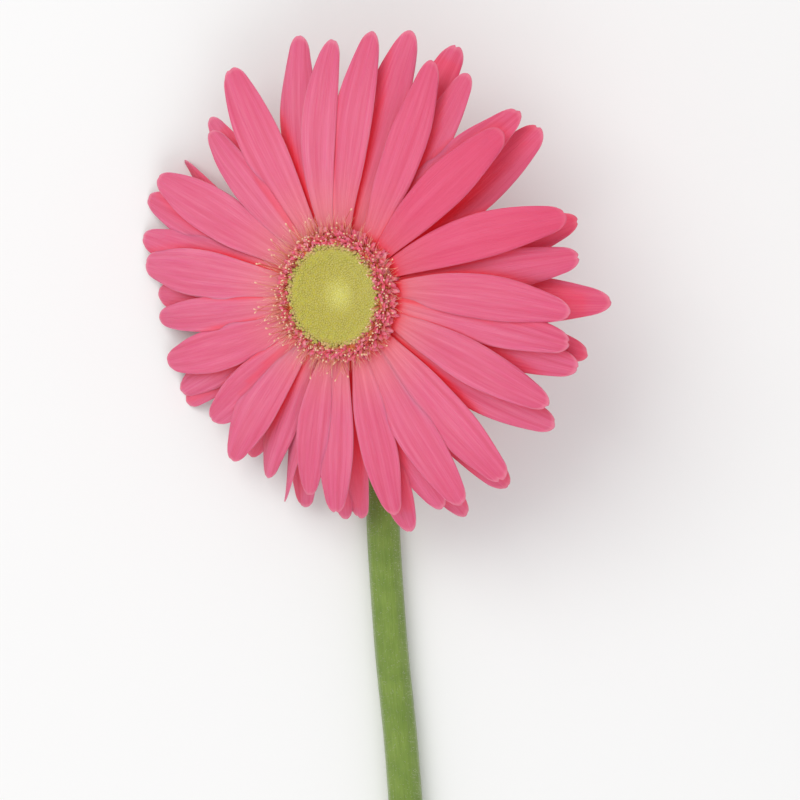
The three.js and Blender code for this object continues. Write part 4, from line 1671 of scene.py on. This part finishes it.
@dataclass
class Involucre(Part):
    """The green cup, its pointed bracts in rows, and their hairs.

    A bract row has its count, and the radius and height of the root and of the tip, and the width.
    """

    node: ClassVar[str] = "involucre"
    slot: ClassVar[str] = "bract"
    outline: tuple[tuple[float, float], ...] = (
        (0.0, -15.0), (2.5, -15.0), (4.1, -14.8), (8.0, -12.2), (12.0, -7.2), (13.4, -3.4),
        (13.0, -2.9), (7.0, -2.9), (0.0, -2.9))
    bract_rows: tuple[Row, ...] = (
        (16, 5.2, -13.8, 14.2, -6.6, 3.0),
        (21, 8.0, -12.0, 15.8, -4.8, 3.2),
        (26, 10.6, -9.4, 16.8, -3.6, 3.2),
        (30, 12.4, -6.8, 17.2, -2.9, 2.9),
    )
    row_stagger: float = 0.37
    bulge: float = 1.3
    reach_spread: Range = (0.92, 1.06)
    bract_stray: Range = (-2, 2)
    bract_sweep: Range = (-3, 3)
    narrowing: float = 0.12
    point: float = 3.2
    least_width: float = 0.002
    keel: float = 0.45
    keel_fade: float = 0.3
    thickness: float = 0.45
    stations: int = 14
    lanes: int = 7
    hair_count: int = 1500
    hair_stray: float = 0.45
    hair_bow: float = 0.12
    hair_length: Range = (0.6, 1.5)
    hair_girth: float = 0.045
    hair_root: float = 0.22
    seed: int = 3

    def bracts(self, rng: np.random.Generator) -> tuple[Solid, Array, Array]:
        """Bracts that hug the cup.

        A bract's middle line goes straight from root to tip plus a bulge, four times its depth
        times the share along times what is left. Its width narrows with a power of the share to
        a point, and its middle is raised into a keel.

        Args:
            rng: Draws each one's own length and turn.

        Returns:
            The bracts, and for their hairs the points of their outer faces and the ways out.
        """
        place, root_radius, root_height, tip_radius, tip_height, width = ranks(
            self.bract_rows, self.row_stagger)
        own = partial(rng.uniform, size=place.shape)
        along = np.linspace(0, 1, self.stations)[None]
        bulge = self.bulge * 4 * along * (1 - along)
        reach = own(*self.reach_spread)
        radius = root_radius + (tip_radius - root_radius) * along * reach + bulge
        height = root_height + (tip_height - root_height) * along * reach - bulge
        bearing = place + own(*self.bract_stray) + own(*self.bract_sweep) * along
        centres = at_bearing(bearing, radius, height)
        _, side, up = directions(centres, UP)
        side, up = side[:, :, None], up[:, :, None]
        point = np.sqrt(np.clip(1 - along**self.point, self.least_width, 1))
        half = width / 2 * (1 - self.narrowing * along) * point
        lanes = np.linspace(-1, 1, self.lanes)
        keel = self.keel * (1 - np.abs(lanes)) * (1 - self.keel_fade * along[..., None])
        middle = surface(centres[:, :, None], side, up, half[..., None] * lanes, -keel)
        solid = strands(blade_rings(middle, up, self.thickness), along[0], blade_shares(lanes),
                        seed=rng.uniform(0, 1, len(place)))
        outer = self.bloom.to_world(middle - up * self.hair_root)
        away = np.broadcast_to(self.bloom.turned(-up), outer.shape)
        return self.bloom.carry(solid), outer.reshape(-1, 3), away.reshape(-1, 3)

    def hairs(self, rng: np.random.Generator, outer: Array, away: Array) -> Solid:
        """Hairs on the bracts' outer faces, each pointing outwards and a little any way.

        Args:
            rng: Draws each one's place, length and lean.
            outer: Points that they may grow from, (n, 3).
            away: The way out at each of them, (n, 3).

        Returns:
            The hairs as one solid.
        """
        chosen = rng.integers(0, len(outer), self.hair_count)
        root, out = outer[chosen], away[chosen]
        wild = rng.normal(0, self.hair_stray, root.shape)
        length = rng.uniform(*self.hair_length, (self.hair_count, 1))
        foot = root + rng.normal(0, self.hair_bow, root.shape)
        return hairs(foot, root + unit(out + wild) * length,
                     rng.normal(0, self.hair_bow, root.shape), self.hair_girth)

    def pieces(self) -> list[Dressed]:
        """The cup, the bracts and their hairs.

        Returns:
            The name, body and finish of each piece.
        """
        rng = np.random.default_rng(self.seed)
        skin = GreenFinish("bract_skin", roughness=0.65, subsurface=0.05, lines=(14.0, 3.0),
                           root=(0.16, 0.24, 0.06), tip=(0.10, 0.15, 0.035))
        cup = self.bloom.carry(lathe(self.outline, steps=40, sides=48), seed=0.0)
        bracts, outer, away = self.bracts(rng)
        return [("involucre_cup", cup, skin), ("bracts", bracts, skin),
                ("bract_hairs", self.hairs(rng, outer, away), HAIR)]


@dataclass
class Stem(Part):
    """The stem: a faintly ribbed, hairy stalk on the surface, with a slanting cut end.

    face_rings are the cut face's rings: the share of the radius, and how far the pith stands out.
    """

    node: ClassVar[str] = "stem"
    slot: ClassVar[str] = "stem"
    top_height: float = -15.3
    straight: float = 4.5
    course: tuple[tuple[float, float, float], ...] = (
        (5.0, 64, 9.0), (4.5, 52, 3.6), (3.6, 33, 3.0), (3.4, 13, 3.0), (5.2, -13, 3.0),
        (7.8, -41, 3.0), (10.6, -74, 3.0), (12.8, -103, 3.0), (14.6, -128, 3.0))
    course_steps: int = 24
    neck_radius: float = 3.4
    neck_share: float = 0.3
    stem_radius: float = 3.9
    end_radius: float = 4.4
    settled: float = 0.975
    slant: float = 40.0
    ribs: int = 9
    rib_turn: float = 2.0
    rib_depth: float = 0.07
    rib_from: Range = (0.0, 0.06)
    broad_ribs: int = 4
    broad_turn: float = -3.0
    broad_depth: float = 0.4
    swell: float = 0.08
    swells: float = 31.0
    face_rings: tuple[tuple[float, float], ...] = (
        (1.0, 0.0), (0.985, 0.03), (0.95, 0.0), (0.88, -0.05), (0.76, -0.12), (0.6, -0.16),
        (0.4, -0.2), (0.2, -0.22), (0.03, -0.22))
    sides: int = 48
    stations: int = 170
    hair_count: int = 5200
    hair_arc: Range = (-0.30 * np.pi, 1.30 * np.pi)
    hair_shift: Range = (-0.6, 0.6)
    hair_stray: float = 0.4
    hair_bow: float = 0.05
    hair_length: Range = (0.3, 0.85)
    hair_girth: float = 0.028
    hair_root: float = 0.15
    hair_clear: float = 0.1
    seed: int = 9

    def line(self) -> tuple[Array, Array]:
        """The middle line, and its radius at each point.

        A smooth course through the given places, read off at even steps. The radius eases from the
        neck's to the stem's and grows with the cube of the share along. The line is never lower
        than nearly the radius, so that the stem lies on the surface and is settled a little.

        Returns:
            Points, (stations, 3), and radii, (stations,).
        """
        top = self.bloom.to_world(self.top_height * UP)
        bend = top - self.bloom.facing() * self.straight
        points = smooth_course(np.array([top, bend, *self.course]), self.course_steps)
        points = resampled(points, self.stations)
        along = np.linspace(0, 1, self.stations)
        radius = self.neck_radius + (self.stem_radius - self.neck_radius) \
            * smoothstep(0, self.neck_share, along) \
            + (self.end_radius - self.stem_radius) * along**3
        points[:, 2] = np.maximum(points[:, 2], radius * self.settled)
        return points, radius

    def body(self) -> Solid:
        """The stem's skin and cut face.

        Rings of the radius times one plus shallow cosines, one for each rib. At the cut a ring is
        sheared back by its height times the slant's tangent, and then shrinks to the middle.

        Returns:
            The stem, marked with how far in from the rind the cut face is.
        """
        centres, radius = self.line()
        angle = round_angles(self.sides)
        along = np.linspace(0, 1, self.stations)[:, None]
        rib = np.cos(self.ribs * angle + self.rib_turn * along) \
            + self.broad_depth * np.cos(self.broad_ribs * angle + self.broad_turn * along)
        radii = radius[:, None] + self.rib_depth * rib * smoothstep(*self.rib_from, along) \
            + self.swell * np.sin(self.swells * along + angle)
        rings = tube_rings(centres[None], radii[None], self.sides, UP)[0]
        forward = unit((centres[-1] - centres[-2]) * (1, 1, 0))
        inward, dent = np.array(self.face_rings).T[:, :, None]
        spokes = (rings[-1] - centres[-1]) * inward[..., None]
        lean = -(spokes[..., 2] + radius[-1]) * np.tan(np.radians(self.slant)) + dent
        face = centres[-1] + spokes + lean[..., None] * forward
        rings = np.concatenate([rings[:-1], face])
        rings[..., 2] = np.maximum(rings[..., 2], 0.0)
        cut = np.zeros(rings.shape[:2])
        cut[-len(inward):] = 1 - inward
        return strands(rings[None], seed=np.zeros(1), cut=cut[None])

    def fuzz(self) -> Solid:
        """Short hairs all over the skin, each pointing outwards and a little any way.

        Returns:
            The hairs as one solid.
        """
        rng = np.random.default_rng(self.seed)
        centres, radius = self.line()
        forward, side, up = (way[0] for way in directions(centres[None], UP))
        station = rng.integers(2, self.stations - 3, self.hair_count)
        angle = rng.uniform(*self.hair_arc, self.hair_count)[:, None]
        own = partial(rng.uniform, size=(self.hair_count, 1))
        out = side[station] * np.cos(angle) + up[station] * np.sin(angle)
        root = centres[station] + out * radius[station, None] \
            + forward[station] * own(*self.hair_shift)
        length = own(*self.hair_length)
        tip = root + unit(out + rng.normal(0, self.hair_stray, root.shape)) * length
        for end in (root, tip):
            end[:, 2] = np.maximum(end[:, 2], self.hair_clear)
        return hairs(root - out * self.hair_root, tip, rng.normal(0, self.hair_bow, root.shape),
                     self.hair_girth, stations=3)

    def pieces(self) -> list[Dressed]:
        """The stem's skin and its hairs.

        Returns:
            The name, body and finish of each piece.
        """
        skin = StemFinish("stem_skin", roughness=0.55, sheen=0.25, subsurface=0.05,
                          lines=(60.0, 40.0))
        return [("stem_skin", self.body(), skin), ("stem_hairs", self.fuzz(), HAIR)]


# ---------------------------------------------------------------------------------- the studio


class Light(NamedTuple):
    """A square area light: its name, place and side in metres, power in watts, and colour."""

    name: str
    place: tuple[float, float, float]
    side: float
    power: float
    colour: Colour


@dataclass
class Studio:
    """The pale floor, the soft lights and the camera that looks down on the bloom."""

    bloom: Bloom
    floor_half_side: float = 2500.0
    floor_depth: float = 10.0
    sensor_width: float = 36.0
    focal_pixels: float = 3056.8
    disc_pixel: tuple[float, float] = (332.4, 296.2)
    ambient: float = 0.60
    lights: tuple[Light, ...] = (
        Light("key", (-0.7, 0.7, 1.35), 1.2, 12.0, (1.0, 0.99, 0.97)),
        Light("fill", (0.2, -1.1, 1.2), 1.2, 7.2, (0.97, 0.98, 1.0)))

    def floor(self, piece: Piece) -> None:
        """Adds the floor as a thin slab under the flower.

        Args:
            piece: Puts it into the scene.
        """
        far = self.floor_half_side
        corners = np.array([[x, y, z] for z in (-self.floor_depth, 0.0)
                            for x, y in ((-far, -far), (far, -far), (far, far), (-far, far))])
        faces = np.array([(3, 2, 1, 0), (4, 5, 6, 7), (0, 1, 5, 4), (1, 2, 6, 5), (2, 3, 7, 6),
                          (3, 0, 4, 7)])
        solid = Solid(corners, faces, np.zeros((6, 4, 2)))
        thing = piece.mesh_object("floor", solid, FloorFinish("floor_skin", roughness=0.9))
        thing.data.polygons.foreach_set("use_smooth", np.zeros(6, bool))

    def hang(self, light: Light) -> None:
        """Adds a light that points at the bloom.

        Args:
            light: The light.
        """
        lamp = bpy.data.lights.new(light.name, "AREA")
        lamp.size, lamp.energy, lamp.color = light.side, light.power, light.colour
        thing = bpy.data.objects.new(light.name, lamp)
        thing.location = light.place
        aim = Vector(self.bloom.centre) * MM - thing.location
        thing.rotation_euler = aim.to_track_quat("-Z", "Y").to_euler()
        bpy.context.scene.collection.objects.link(thing)

    def camera(self) -> None:
        """Adds the camera, straight above the place that shows in the middle of the picture."""
        lens = bpy.data.cameras.new("camera")
        lens.sensor_width = self.sensor_width
        lens.lens = self.focal_pixels / PHOTO_SIDE * lens.sensor_width
        rim = self.bloom.to_world(self.bloom.rim_height * UP)
        height = self.bloom.centre[2] + self.bloom.eye[2]
        per_pixel = (height - rim[2]) / self.focal_pixels
        across = (PHOTO_SIDE / 2 - self.disc_pixel[0]) * per_pixel
        down = (PHOTO_SIDE / 2 - self.disc_pixel[1]) * per_pixel
        thing = bpy.data.objects.new("camera", lens)
        thing.location = (MM * (rim[0] + across), MM * (rim[1] - down), MM * height)
        bpy.context.scene.collection.objects.link(thing)
        bpy.context.scene.camera = thing

    def build(self, piece: Piece) -> None:
        """Sets up the whole studio.

        Args:
            piece: Puts the floor into the scene.
        """
        scene = bpy.context.scene
        scene.view_settings.view_transform = "Standard"
        world = bpy.data.worlds.new("studio")
        world.use_nodes = True
        sky = world.node_tree.nodes["Background"]
        sky.inputs["Color"].default_value = (1.0, 1.0, 1.0, 1.0)
        sky.inputs["Strength"].default_value = self.ambient
        scene.world = world
        self.floor(piece)
        for light in self.lights:
            self.hang(light)
        self.camera()
        log.info("studio: floor, %d lights and the camera", len(self.lights))


def main() -> None:
    """Builds the studio and every sub-assembly in order."""
    logging.basicConfig(level=logging.INFO, format="%(message)s")
    bloom = Bloom()
    piece = Piece(Effects())
    Studio(bloom).build(piece)
    for part in (Stem(bloom), Involucre(bloom), RayFlorets(bloom), TransFlorets(bloom),
                 DiscFlorets(bloom)):
        part.build(piece)


if __name__ == "__main__":
    main()
